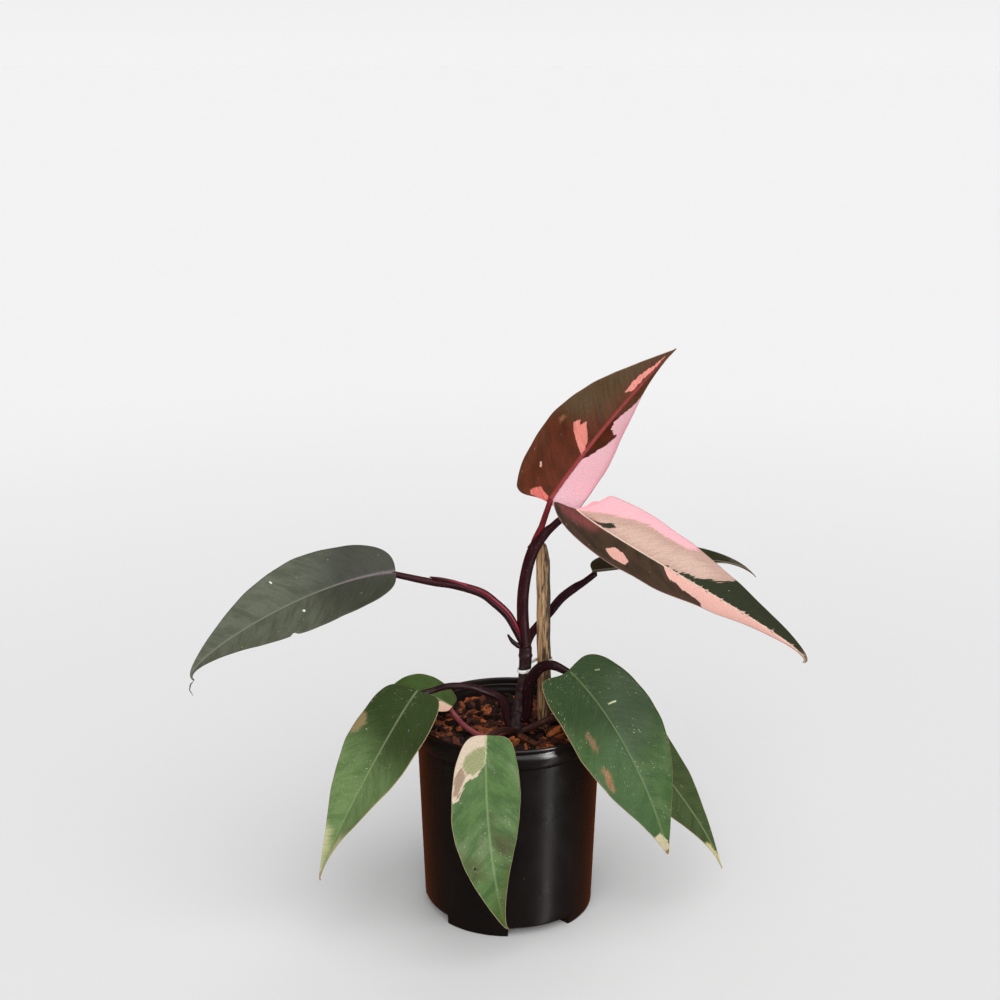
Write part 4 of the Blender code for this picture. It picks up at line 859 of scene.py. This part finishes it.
def bamboo():
    """Weathered split bamboo: grain of 0.9 mm fibres along it, tan to the left, dark to the right."""
    skin, tree, shader = blank("weathered bamboo", 0.7, IOR=1.5)
    where = add(tree, "TexCoord")
    placed = add(tree, "Mapping", {"Vector": where, "Scale": (1 / 0.0009, 1 / 0.0009, 1 / 0.03)})
    grain = add(tree, "TexNoise", {"Vector": placed, "Scale": 1.0, "Detail": 5.0})
    base = add(tree, "ValToRGB", (grain,))
    low, high = base.color_ramp.elements
    low.position, low.color = 0.35, linear("#7b5b3a")
    high.position, high.color = 0.62, linear("#c9a074")
    placed = add(tree, "Mapping", {"Vector": where, "Scale": (1 / 0.0016, 1 / 0.0016, 1 / 0.011)})
    stain = add(tree, "TexNoise", {"Vector": placed, "Scale": 1.0, "Detail": 4.0})
    aside = add(tree, "SeparateXYZ", (where,))
    # The stains grow towards the stake's right side, so it is darker there
    right = add(tree, "MapRange", (aside, 0.0225, 0.0335, -0.16, 0.2))
    pull = add(tree, "Math", (stain, right), operation="ADD")
    share = add(tree, "MapRange", (pull, 0.44, 0.62))
    colour = add(tree, "Mix", {0: share, 6: base, 7: linear("#43331f")}, **COLOUR)
    bump = add(tree, "Bump", {"Height": grain, "Strength": 0.6, "Distance": 0.4 * MM})
    fill(tree, shader, {"Base Color": colour, "Normal": bump})
    return skin


stake = finished("stake_bamboo", stake_surface().reshape(-1, 3), tube_faces(STAKE_ROWS, STAKE_SIDES),
                 bamboo())
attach(stake, "root")
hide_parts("stake")

# Tie: a flat white plastic-covered wire bent round the stem and the stake, a little aslant. It
# keeps a little clear of both, and the wire inside raises a low rib along its outer face.
TIE_HEIGHT = 203.5
TIE_WIDTH = 2.9
TIE_THICKNESS = 0.8
TIE_CLEAR = 0.35
TIE_SLOPE = 0.13
TIE_STEPS = 120
TIE_SIDES = 16
TIE_STEM_RADIUS = 5.0
TIE_CORNER = 2.2


def tie_route():
    """The loop's plan: the farthest any of the two sections reaches in each direction, as a curve."""
    angle = np.linspace(0, 2 * np.pi, TIE_STEPS, endpoint=False)
    ways = np.stack([np.cos(angle), np.sin(angle)], axis=1)
    at_stem = stem_path[np.argmin(np.abs(stem_path[:, 2] - TIE_HEIGHT)), :2]
    share = (TIE_HEIGHT - STAKE_FOOT[2]) / (STAKE_TOP[2] - STAKE_FOOT[2])
    at_stake = (np.array(STAKE_FOOT) * (1 - share) + np.array(STAKE_TOP) * share)[:2]
    stem_reach = ways @ at_stem + TIE_STEM_RADIUS + TIE_CLEAR
    box = np.array([STAKE_SIZE[0] / 2 - TIE_CORNER, STAKE_SIZE[1] / 2 - TIE_CORNER])
    stake_reach = ways @ at_stake + np.abs(ways) @ box + TIE_CORNER + TIE_CLEAR
    reach = np.logaddexp(stem_reach * 6, stake_reach * 6) / 6
    slope = (np.roll(reach, -1) - np.roll(reach, 1)) / (2 * (angle[1] - angle[0]))
    across = np.stack([-ways[:, 1], ways[:, 0]], axis=1)
    plan = ways * reach[:, None] + across * slope[:, None]
    return plan, ways


def tie_surface():
    """A rounded flat section carried round the loop, raised along its middle by the wire inside."""
    plan, outward = tie_route()
    angle = np.linspace(0, 2 * np.pi, TIE_SIDES, endpoint=False)
    height = TIE_HEIGHT + TIE_SLOPE * (plan[:, 0] - 20.0) + 0.05 * np.cos(np.arange(TIE_STEPS) * 0.9)
    thick = TIE_THICKNESS / 2 * (1 + np.cos(angle))
    tall = TIE_WIDTH / 2 * np.sign(np.sin(angle)) * np.abs(np.sin(angle)) ** 0.5
    wire = 0.12 * np.exp(-(tall / 0.4) ** 2) * (np.cos(angle) > 0)
    x = plan[:, None, 0] + outward[:, None, 0] * (thick + wire)
    y = plan[:, None, 1] + outward[:, None, 1] * (thick + wire)
    z = height[:, None] + tall[None] * 0.95
    return np.stack(np.broadcast_arrays(x, y, z), axis=-1)


def white_plastic():
    """Soft white plastic, a little soiled in places."""
    skin, tree, shader = blank("white soft plastic", 0.45, IOR=1.5)
    soil = add(tree, "TexNoise", {"Vector": add(tree, "TexCoord"), "Scale": 1 / 0.004, "Detail": 4.0})
    share = add(tree, "MapRange", (soil, 0.5, 0.8))
    colour = add(tree, "Mix", {0: share, 6: linear("#f4f3f0"), 7: linear("#cfc9c0")}, **COLOUR)
    fill(tree, shader, {"Base Color": colour})
    return skin


tie_faces = ring_quads(TIE_STEPS + 1, TIE_SIDES)[:, TURNED_OVER] % (TIE_STEPS * TIE_SIDES)
tie = finished("tie_band", tie_surface().reshape(-1, 3), tie_faces, white_plastic())
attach(tie, "root")
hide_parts("twist_tie")

# Potting mix: bark chips and dark fibre, filled loose to just under the rim. The chips lie at
# every angle, with broken, splintered faces.
MIX_TOP = 148.0
MIX_RADIUS = 71.0
CHIPS = 620
CHIP_FIELD = 68.5
CHIP_SEED = 7
STRANDS = 46
STRAND_FIELD = 62.0
STRAND_ROWS = 9
STRAND_SIDES = 5
STRAND_RADIUS = 0.22
MIX_BOTTOM = 12.0
MIX_RINGS = 90
MIX_SIDES = 240
MIX_SINK = 2.0
STALKS_CLEAR_BELOW = 156.0
STEM_CLEAR_ABOVE = 140.0
CLEARANCE = 0.5
STAKE_SPOT = (29.0, 6.0, 148.0, 6.0)
mix_rng = np.random.default_rng(CHIP_SEED)


def mix_surface():
    """The filling's rough top, joined to a plain side and bottom: heights are a sum of slow waves
    and fine random lumps."""
    radii = np.concatenate([np.linspace(0, MIX_RADIUS, MIX_RINGS), [MIX_RADIUS + 0.2]])
    angle = np.linspace(0, 2 * np.pi, MIX_SIDES, endpoint=False)
    r, a = np.meshgrid(radii, angle, indexing="ij")
    x, y = r * np.cos(a), r * np.sin(a)
    z = MIX_TOP - MIX_SINK + 0.9 * np.sin(x / 7.1) * np.cos(y / 5.7) + 0.7 * np.sin(x / 3.1 + y / 2.3)
    z = z + mix_rng.normal(0, 0.5, r.shape) * (r > 1)
    z[0] = MIX_TOP - MIX_SINK
    x[-1], y[-1], z[-1] = x[-1] * 0.95, y[-1] * 0.95, MIX_BOTTOM
    return np.stack([x, y, z], axis=-1), r.shape


def rotations(count, tilt):
    """Random turns: a full turn about Z after a tilt about X and Y of the given spread in radians."""
    turn = mix_rng.uniform(0, 2 * np.pi, count)
    pitch, roll = mix_rng.normal(0, tilt, (2, count))
    cz, sz = np.cos(turn), np.sin(turn)
    cp, sp = np.cos(pitch), np.sin(pitch)
    cr, sr = np.cos(roll), np.sin(roll)
    return np.stack([
        np.stack([cz * cp, cz * sp * sr - sz * cr, cz * sp * cr + sz * sr], -1),
        np.stack([sz * cp, sz * sp * sr + cz * cr, sz * sp * cr - cz * sr], -1),
        np.stack([-sp, cp * sr, cp * cr], -1)], -2)


def chip_template():
    """A block of small faces with its corners drawn in: a cube grid pushed part way to a ball."""
    steps = np.linspace(-1, 1, 4)
    points, faces = [], []
    for axis in range(3):
        for way in (-1, 1):
            u, v = np.meshgrid(steps, steps, indexing="ij")
            block = np.empty((4, 4, 3))
            block[..., axis] = way
            block[..., (axis + 1) % 3] = u
            block[..., (axis + 2) % 3] = v
            faces.append(grid_faces(4, 4, 16 * len(points), flip=way > 0))
            points.append(block.reshape(-1, 3))
    points = np.concatenate(points)
    ball = points / np.linalg.norm(points, axis=1, keepdims=True)
    return points * 0.72 + ball * 0.33, np.concatenate(faces)


def chip_cloud(clear):
    """All the chips as one array: the template scaled, made uneven by waves of its own, turned and
    set down at random places. Chips on a stem's or stalk's place are left out."""
    template, faces = chip_template()
    radius = CHIP_FIELD * np.sqrt(mix_rng.random(CHIPS))
    angle = mix_rng.uniform(0, 2 * np.pi, CHIPS)
    spots = np.stack([radius * np.cos(angle), radius * np.sin(angle)], axis=1)
    # Half length, half width and half thickness of each chip
    size = np.stack([mix_rng.gamma(6, 0.8, CHIPS) + 1.2, mix_rng.uniform(1.2, 3.8, CHIPS),
                     mix_rng.uniform(0.6, 1.9, CHIPS)], axis=1)
    gap = np.linalg.norm(spots[:, None] - clear[None, :, :2], axis=2) - clear[None, :, 3]
    keep = (gap > size[:, :1] * 0.6).all(axis=1)
    spots, size = spots[keep], size[keep]
    count = len(spots)
    waves = mix_rng.uniform(1.5, 4.0, (count, 1, 3))
    shift = mix_rng.uniform(0, 6, (count, 1, 3))
    lumps = 1 + 0.16 * np.sin(template[None] * waves + shift)
    local = template[None] * lumps[..., [1, 2, 0]] * size[:, None]
    tilt = np.where(mix_rng.random(count) < 0.16, 0.75, 0.28)
    turned = np.einsum("nij,nkj->nki", rotations(count, tilt), local)
    height = MIX_TOP - 1.0 + mix_rng.uniform(-0.8, 2.2, count)
    outward = np.linalg.norm(turned[..., :2] + spots[:, None], axis=2).max(axis=1)
    spots = spots * np.minimum(1, (MIX_RADIUS - 0.6) / outward)[:, None]
    centre = np.concatenate([spots, height[:, None]], axis=1)
    points = turned + centre[:, None]
    numbers = faces[None] + (np.arange(count) * len(template))[:, None, None]
    tone = np.repeat(mix_rng.random(count), len(template))
    return points.reshape(-1, 3), numbers.reshape(-1, 4), tone


def bark(name):
    """Pine bark: flaky plates, orange-brown where freshly broken and nearly black where damp."""
    skin, tree, shader = blank(name, 0.85, IOR=1.45)
    where = add(tree, "TexCoord")
    placed = add(tree, "Mapping", {"Vector": where, "Scale": (1 / 0.002, 1 / 0.002, 1 / 0.0008)})
    flake = add(tree, "TexNoise", {"Vector": placed, "Scale": 1.0, "Detail": 6.0, "Roughness": 0.65})
    tone = add(tree, "Attribute", attribute_name="tone")
    pull = add(tree, "Mix", {0: 0.6, 2: flake, 3: tone})
    ramp = add(tree, "ValToRGB", (pull.outputs[0],))
    damp, fresh = ramp.color_ramp.elements
    damp.position, damp.color = 0.22, linear("#120a08")
    fresh.position, fresh.color = 0.76, linear("#b4622f")
    ramp.color_ramp.elements.new(0.45).color = linear("#2b140c")
    ramp.color_ramp.elements.new(0.60).color = linear("#5f2c15")
    bump = add(tree, "Bump", {"Height": flake, "Strength": 0.9, "Distance": 0.8 * MM})
    fill(tree, shader, {"Base Color": ramp, "Normal": bump})
    return skin


def strands():
    """Thin coir fibres: each a five-sided tube 0.44 mm thick on a short arc that rises and dips, with
    its ends drawn in to points. The ring stands across the fibre's own direction."""
    t = np.linspace(0, 1, STRAND_ROWS)[None, :, None]
    radius = STRAND_FIELD * np.sqrt(mix_rng.random((STRANDS, 1, 1)))
    angle = mix_rng.uniform(0, 2 * np.pi, (STRANDS, 1, 1))
    way = mix_rng.uniform(0, 2 * np.pi, (STRANDS, 1, 1)) + mix_rng.normal(0, 1.2, (STRANDS, 1, 1)) * t
    reach = mix_rng.uniform(6, 17, (STRANDS, 1, 1))
    x = radius * np.cos(angle) + reach * (t - 0.5) * np.cos(way)
    y = radius * np.sin(angle) + reach * (t - 0.5) * np.sin(way)
    inside = np.minimum(1, (MIX_RADIUS - 2) / np.maximum(np.hypot(x, y), 1))
    lift = mix_rng.uniform(1.0, 5.5, (STRANDS, 1, 1))
    z = MIX_TOP - 0.5 + lift * np.sin(np.pi * t)
    path = np.concatenate([x * inside, y * inside, z], axis=2)
    ring = np.linspace(0, 2 * np.pi, STRAND_SIDES, endpoint=False)
    beside = np.concatenate([-np.sin(way), np.cos(way), np.zeros_like(way)], axis=2)[:, :, None]
    upward = np.array([0.0, 0.0, 1.0])
    circle = np.cos(ring)[:, None] * beside + np.sin(ring)[:, None] * upward
    taper = np.minimum(1, 4 * np.sin(np.pi * t))[..., None]
    points = path[:, :, None] + STRAND_RADIUS * taper * circle
    first_points = np.arange(STRANDS)[:, None, None] * STRAND_ROWS * STRAND_SIDES
    quads = first_points + ring_quads(STRAND_ROWS, STRAND_SIDES)
    return points.reshape(-1, 3), quads.reshape(-1, 4)


mix_top, (mix_rows, mix_columns) = mix_surface()
mix_points = np.concatenate([mix_top.reshape(-1, 3), [[0, 0, MIX_BOTTOM]]])
mix_quads = ring_quads(mix_rows, mix_columns)[:, TURNED_OVER]
last_ring = np.r_[np.arange(mix_columns), 0] + (mix_rows - 1) * mix_columns
middle_point = np.full(mix_columns, len(mix_points) - 1)
bottom = np.stack([last_ring[:-1], middle_point, last_ring[1:], last_ring[1:]], axis=1)
mix_faces = [list(dict.fromkeys(face)) for face in np.concatenate([mix_quads, bottom]).tolist()]
stalk_spots = [(*p, r + CLEARANCE) for s in PETIOLES.values()
               for p, r in zip(*smooth_path(s["points"], s["radii"][:-1], 4.0)) if p[2] < STALKS_CLEAR_BELOW]
stalk_spots += [(*p, r + CLEARANCE) for p, r in zip(stem_path, stem_radii)
                if STEM_CLEAR_ABOVE < p[2] < STALKS_CLEAR_BELOW]
stalk_spots.append(STAKE_SPOT)
chip_points, chip_faces, chip_tone = chip_cloud(np.array(stalk_spots))
bark_skin = bark("pine bark")
pieces = [("mix_bed", mix_points, np.array(mix_faces, dtype=object), np.full(len(mix_points), 0.05)),
          ("mix_chips", chip_points, chip_faces, chip_tone)]
strand_points, strand_faces = strands()
pieces.append(("mix_fibres", strand_points, strand_faces, np.full(len(strand_points), 0.75)))
for piece_name, points, faces, tone in pieces:
    piece = finished(piece_name, points, faces, bark_skin, {"tone": tone}, merge=0.01)
    if piece_name == "mix_chips":
        piece.data.shade_flat()
    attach(piece, "root")
    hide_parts("potting_mix")

# Pot: injection-moulded polypropylene, thin and black, with a rolled lip and a band round the rim
# and a floor raised in four channels with drain holes. It has faint dust and a few pale specks.
POT_HEIGHT = 162.0
RIM_RADIUS = 76.0
BASE_RADIUS = 68.0
BODY_TOP_RADIUS = 73.3
POT_WALL = 1.5
BAND_BOTTOM = 146.0
BAND_WIDEST = 152.3
CHANNELS = 4
CHANNEL_STEP = 90.0
CHANNEL_FIRST_ANGLE = -67.9
CHANNEL_HALF_ANGLE = 22.5
CHANNEL_INNER_RADIUS = 32.0
CHANNEL_HEIGHT = 7.0


def pot_radius(z):
    """Outer radius of the tapered wall."""
    return BASE_RADIUS + (BODY_TOP_RADIUS - BASE_RADIUS) * z / BAND_BOTTOM


def pot_profile():
    """The pot's section from the middle of its underside, out, up, over the lip and back down.
    Each row is radius, height and how far the channel lifts that point."""
    inner, lift, rim, top = CHANNEL_INNER_RADIUS, CHANNEL_HEIGHT, RIM_RADIUS, POT_HEIGHT
    under = [(0, 0, 0), (12, 0, 0), (inner - 0.1, 0, 0), (inner + 0.1, 0, lift)]
    under += [(r, 0, lift) for r in (40, 50, 60)]
    foot = [(BASE_RADIUS - 1.2 + 1.2 * math.sin(a), 1.2 - 1.2 * math.cos(a), lift)
            for a in np.linspace(0, math.pi / 2, 5)]
    wall = [(pot_radius(z), z, 0) for z in np.linspace(9.5, BAND_BOTTOM - 3.5, 24)]
    neck = [(pot_radius(BAND_BOTTOM - 2.2) - 0.1, BAND_BOTTOM - 2.0, 0), (rim - 2.0, BAND_BOTTOM - 0.9, 0),
            (rim - 1.2, BAND_BOTTOM - 0.2, 0)]
    neck += [(rim - 0.7 * ((BAND_WIDEST - z) / 6) ** 2, z, 0)
             for z in np.linspace(BAND_BOTTOM + 0.6, BAND_WIDEST, 5)]
    neck += [(rim - 1.7 * ((z - BAND_WIDEST) / 5) ** 2, z, 0)
             for z in np.linspace(BAND_WIDEST + 0.8, BAND_WIDEST + 5, 7)]
    neck += [(rim - 1.8, top - 4.0, 0), (rim - 1.5, top - 3.4, 0), (rim - 0.6, top - 2.9, 0)]
    bead = [(rim - 1.35 + 1.35 * math.cos(a), top - 1.5 + 1.5 * math.sin(a), 0)
            for a in np.linspace(-0.2, math.pi, 10)]
    inside = [(rim - 3.0, top - 2.4, 0), (rim - 3.0, top - 5.0, 0), (rim - 3.6, top - 5.6, 0),
              (rim - 3.6, top - 9.0, 0), (rim - 4.1, top - 9.6, 0), (rim - 4.1, top - 14.0, 0)]
    inside += [(pot_radius(z) - POT_WALL, z, 0) for z in (BAND_BOTTOM - 1, 120, 90, 60, 30, 10.5)]
    floor = [(BASE_RADIUS - POT_WALL, POT_WALL, lift), (50, POT_WALL, lift), (inner - 1.4, POT_WALL, lift),
             (inner - 1.6, POT_WALL, 0), (12, POT_WALL, 0), (0, POT_WALL, 0)]
    return np.array(under + foot + wall + neck + bead + inside + floor, float)


def pot_surface():
    """The profile turned about the axis, lifted inside each channel's sector of the turn."""
    edges = [CHANNEL_FIRST_ANGLE + CHANNEL_STEP * i + s * CHANNEL_HALF_ANGLE + d
             for i in range(CHANNELS) for s in (-1, 1) for d in (-0.12, 0.12)]
    angle = np.radians(np.sort(np.r_[np.arange(0, 360, 1.5), np.mod(edges, 360)]))
    middles = CHANNEL_FIRST_ANGLE + CHANNEL_STEP * np.arange(CHANNELS)
    off = np.abs((np.degrees(angle)[:, None] - middles + 180) % 360 - 180)
    raised = (off < CHANNEL_HALF_ANGLE).any(axis=1)
    profile = pot_profile()
    r, z, lift = (profile[:, i][:, None] for i in range(3))
    x = r * np.cos(angle)[None]
    y = r * np.sin(angle)[None]
    high = z + lift * raised[None]
    return np.stack(np.broadcast_arrays(x, y, high), axis=-1)


def black_polypropylene():
    """Black moulded plastic: a fine grain, a soft sheen, faint patches of dust and a few pale specks."""
    skin, tree, shader = blank("black polypropylene", 0.38, IOR=1.49)
    where = add(tree, "TexCoord")
    dust = add(tree, "TexNoise", {"Vector": where, "Scale": 1 / 0.03, "Detail": 6.0, "Roughness": 0.6})
    share = add(tree, "MapRange", {"Value": dust, "From Min": 0.5, "From Max": 0.75, "To Max": 0.35})
    colour = add(tree, "Mix", {0: share, 6: linear("#150f0d"), 7: linear("#221915")}, **COLOUR)
    placed = add(tree, "Mapping", {"Vector": where, "Scale": (1 / 0.004, 1 / 0.004, 1 / 0.004)})
    cells = add(tree, "TexVoronoi", {"Vector": placed, "Scale": 1.0})
    chance = add(tree, "SeparateColor", (cells.outputs["Color"],))
    rare = add(tree, "Math", (chance, 0.96), operation="GREATER_THAN")
    dot = add(tree, "Math", (cells, 0.11), operation="LESS_THAN")
    speck = add(tree, "Math", (rare, dot), operation="MULTIPLY")
    share = add(tree, "Math", (speck, 0.35), operation="MULTIPLY")
    colour = add(tree, "Mix", {0: share, 6: colour, 7: linear("#8b8078")}, **COLOUR)
    rough = add(tree, "MapRange", (dust, 0.35, 0.7, 0.26, 0.34))
    grain = add(tree, "TexNoise", {"Vector": where, "Scale": 1 / 0.0012, "Detail": 2.0})
    bump = add(tree, "Bump", {"Height": grain, "Strength": 0.12, "Distance": 0.1 * MM})
    fill(tree, shader, {"Base Color": colour, "Roughness": rough, "Normal": bump})
    return skin


pot_points = pot_surface()
pot = finished("pot_shell", pot_points.reshape(-1, 3), ring_quads(*pot_points.shape[:2]),
               black_polypropylene(), merge=0.002)

# Drain holes: one over each foot channel, 10 mm wide, cut right through the pot's floor
DRAIN_RADIUS = 5.0
DRAIN_AT_RADIUS = 50.0
DRAIN_MIDDLE = 9.5
DRAIN_DEPTH = 9.0
drill_shape = bmesh.new()
for i in range(CHANNELS):
    turned = math.radians(CHANNEL_FIRST_ANGLE + CHANNEL_STEP * i)
    spot = Vector((DRAIN_AT_RADIUS * math.cos(turned), DRAIN_AT_RADIUS * math.sin(turned), DRAIN_MIDDLE))
    bmesh.ops.create_cone(drill_shape, cap_ends=True, segments=32, radius1=DRAIN_RADIUS * MM,
                          radius2=DRAIN_RADIUS * MM, depth=DRAIN_DEPTH * MM,
                          matrix=Matrix.Translation(spot * MM))
drill_mesh = bpy.data.meshes.new("drill")
drill_shape.to_mesh(drill_mesh)
drill_shape.free()
drill = bpy.data.objects.new("drill", drill_mesh)
bpy.context.scene.collection.objects.link(drill)
cut = pot.modifiers.new("drain holes", "BOOLEAN")
cut.object = drill
cut.operation = "DIFFERENCE"
cut.solver = "EXACT"
cut_pot = bpy.data.meshes.new_from_object(pot.evaluated_get(bpy.context.evaluated_depsgraph_get()))
pot.modifiers.clear()
pot.data = cut_pot
bpy.data.objects.remove(drill)
pot.data.set_sharp_from_angle(angle=math.radians(40))
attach(pot, "root")
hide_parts("nursery_pot")

# Studio: a pale seamless floor under one very wide soft light from above and in front, a front
# fill, a weak back fill, and two slim lamps at the right that only the gloss shows: a window for the
# pot's band, and a strip below the floor's level for its wall. The surround is pale where it is seen,
# even where it lights the leaves, and dim and warm where plastic mirrors it, so the pot stays black.
FLOOR_SIZE = 160.0
# Distances from the pot over which the floor's painted shade gives way to its paler far colour
FLOOR_NEAR = 0.5
FLOOR_FAR = 2.2
SKY_LIGHT = "#a4a4a4"
SKY_MIRRORED_FRONT = "#3c3a38"
SKY_MIRRORED_BACK = "#764026"
BACKDROP_LOW = "#f3f3f3"
BACKDROP_HIGH = "#ededed"

bpy.ops.mesh.primitive_plane_add(size=FLOOR_SIZE, location=(0.0, 0.0, 0.0))
floor = bpy.context.active_object
floor.name = "floor"
floor.visible_glossy = False
floor_skin, floor_tree, floor_shader = blank("pale paper", 0.9, Specular_IOR_Level=0.0)
# Painted shade: the floor is darker near the pot and paler farther out
from_pot = add(floor_tree, "VectorMath", (add(floor_tree, "TexCoord"),), operation="LENGTH").outputs["Value"]
painted_floor_shade = add(floor_tree, "MapRange", (from_pot, FLOOR_NEAR, FLOOR_FAR), **SMOOTH)
floor_colour = add(floor_tree, "Mix", {0: painted_floor_shade, 6: linear("#e4e4e4"), 7: linear("#efefef")}, **COLOUR)
fill(floor_tree, floor_shader, {"Base Color": floor_colour})
floor.data.materials.append(floor_skin)

world = bpy.data.worlds.new("surround")
world.use_nodes = True
sky = world.node_tree
direction = add(sky, "SeparateXYZ", (add(sky, "TexCoord").outputs["Generated"],)).outputs
behind = add(sky, "MapRange", (direction[1], -0.1, 0.7))
height = add(sky, "MapRange", (direction[2], 0.0, 0.08))
mirrored = add(sky, "Mix", {0: behind, 6: linear(SKY_MIRRORED_FRONT), 7: linear(SKY_MIRRORED_BACK)}, **COLOUR)
seen = add(sky, "Mix", {0: height, 6: linear(BACKDROP_LOW), 7: linear(BACKDROP_HIGH)}, **COLOUR)
ray = add(sky, "LightPath").outputs
lighting = add(sky, "Mix", {0: ray["Is Glossy Ray"], 6: linear(SKY_LIGHT), 7: mirrored}, **COLOUR)
surround = add(sky, "Mix", {0: ray["Is Camera Ray"], 6: lighting, 7: seen}, **COLOUR)
fill(sky, sky.nodes["Background"], {"Color": surround})
bpy.context.scene.world = world


def soft_light(name, kind, place, aim, energy, **settings):
    """A lamp that faces a point and isn't seen by the camera."""
    data = bpy.data.lights.new(name, kind)
    data.energy = energy
    for key, value in settings.items():
        setattr(data, key, value)
    lamp = bpy.data.objects.new(name, data)
    lamp.location = place
    lamp.rotation_euler = (Vector(aim) - Vector(place)).to_track_quat("-Z", "Y").to_euler()
    lamp.visible_camera = False
    bpy.context.scene.collection.objects.link(lamp)
    return lamp


soft_light("overhead", "SUN", (0.45, -0.8, 1.1), (0.0, 0.0, 0.0), 1.9, angle=math.radians(80))
front = soft_light("front fill", "SUN", (-0.2, -1.0, 0.25), (0.0, 0.0, 0.0), 1.2, angle=math.radians(60))
front.visible_glossy = False
strip = soft_light("right strip", "AREA", (0.92, -0.71, -0.45), (0.03, -0.06, 0.08), 1.1, shape="RECTANGLE",
                   size=0.07, size_y=1.2)
strip.visible_diffuse = False
strip.data.use_shadow = False
window = soft_light("right window", "AREA", (0.99, -0.92, 0.45), (0.0, 0.0, 0.1), 13.0, shape="RECTANGLE",
                    size=0.12, size_y=0.9)
window.visible_diffuse = False
back = soft_light("back fill", "SUN", (0.3, 1.0, 0.5), (0.0, 0.0, 0.0), 0.7, angle=math.radians(60))
back.visible_glossy = False
bpy.context.scene.view_settings.view_transform = "Standard"
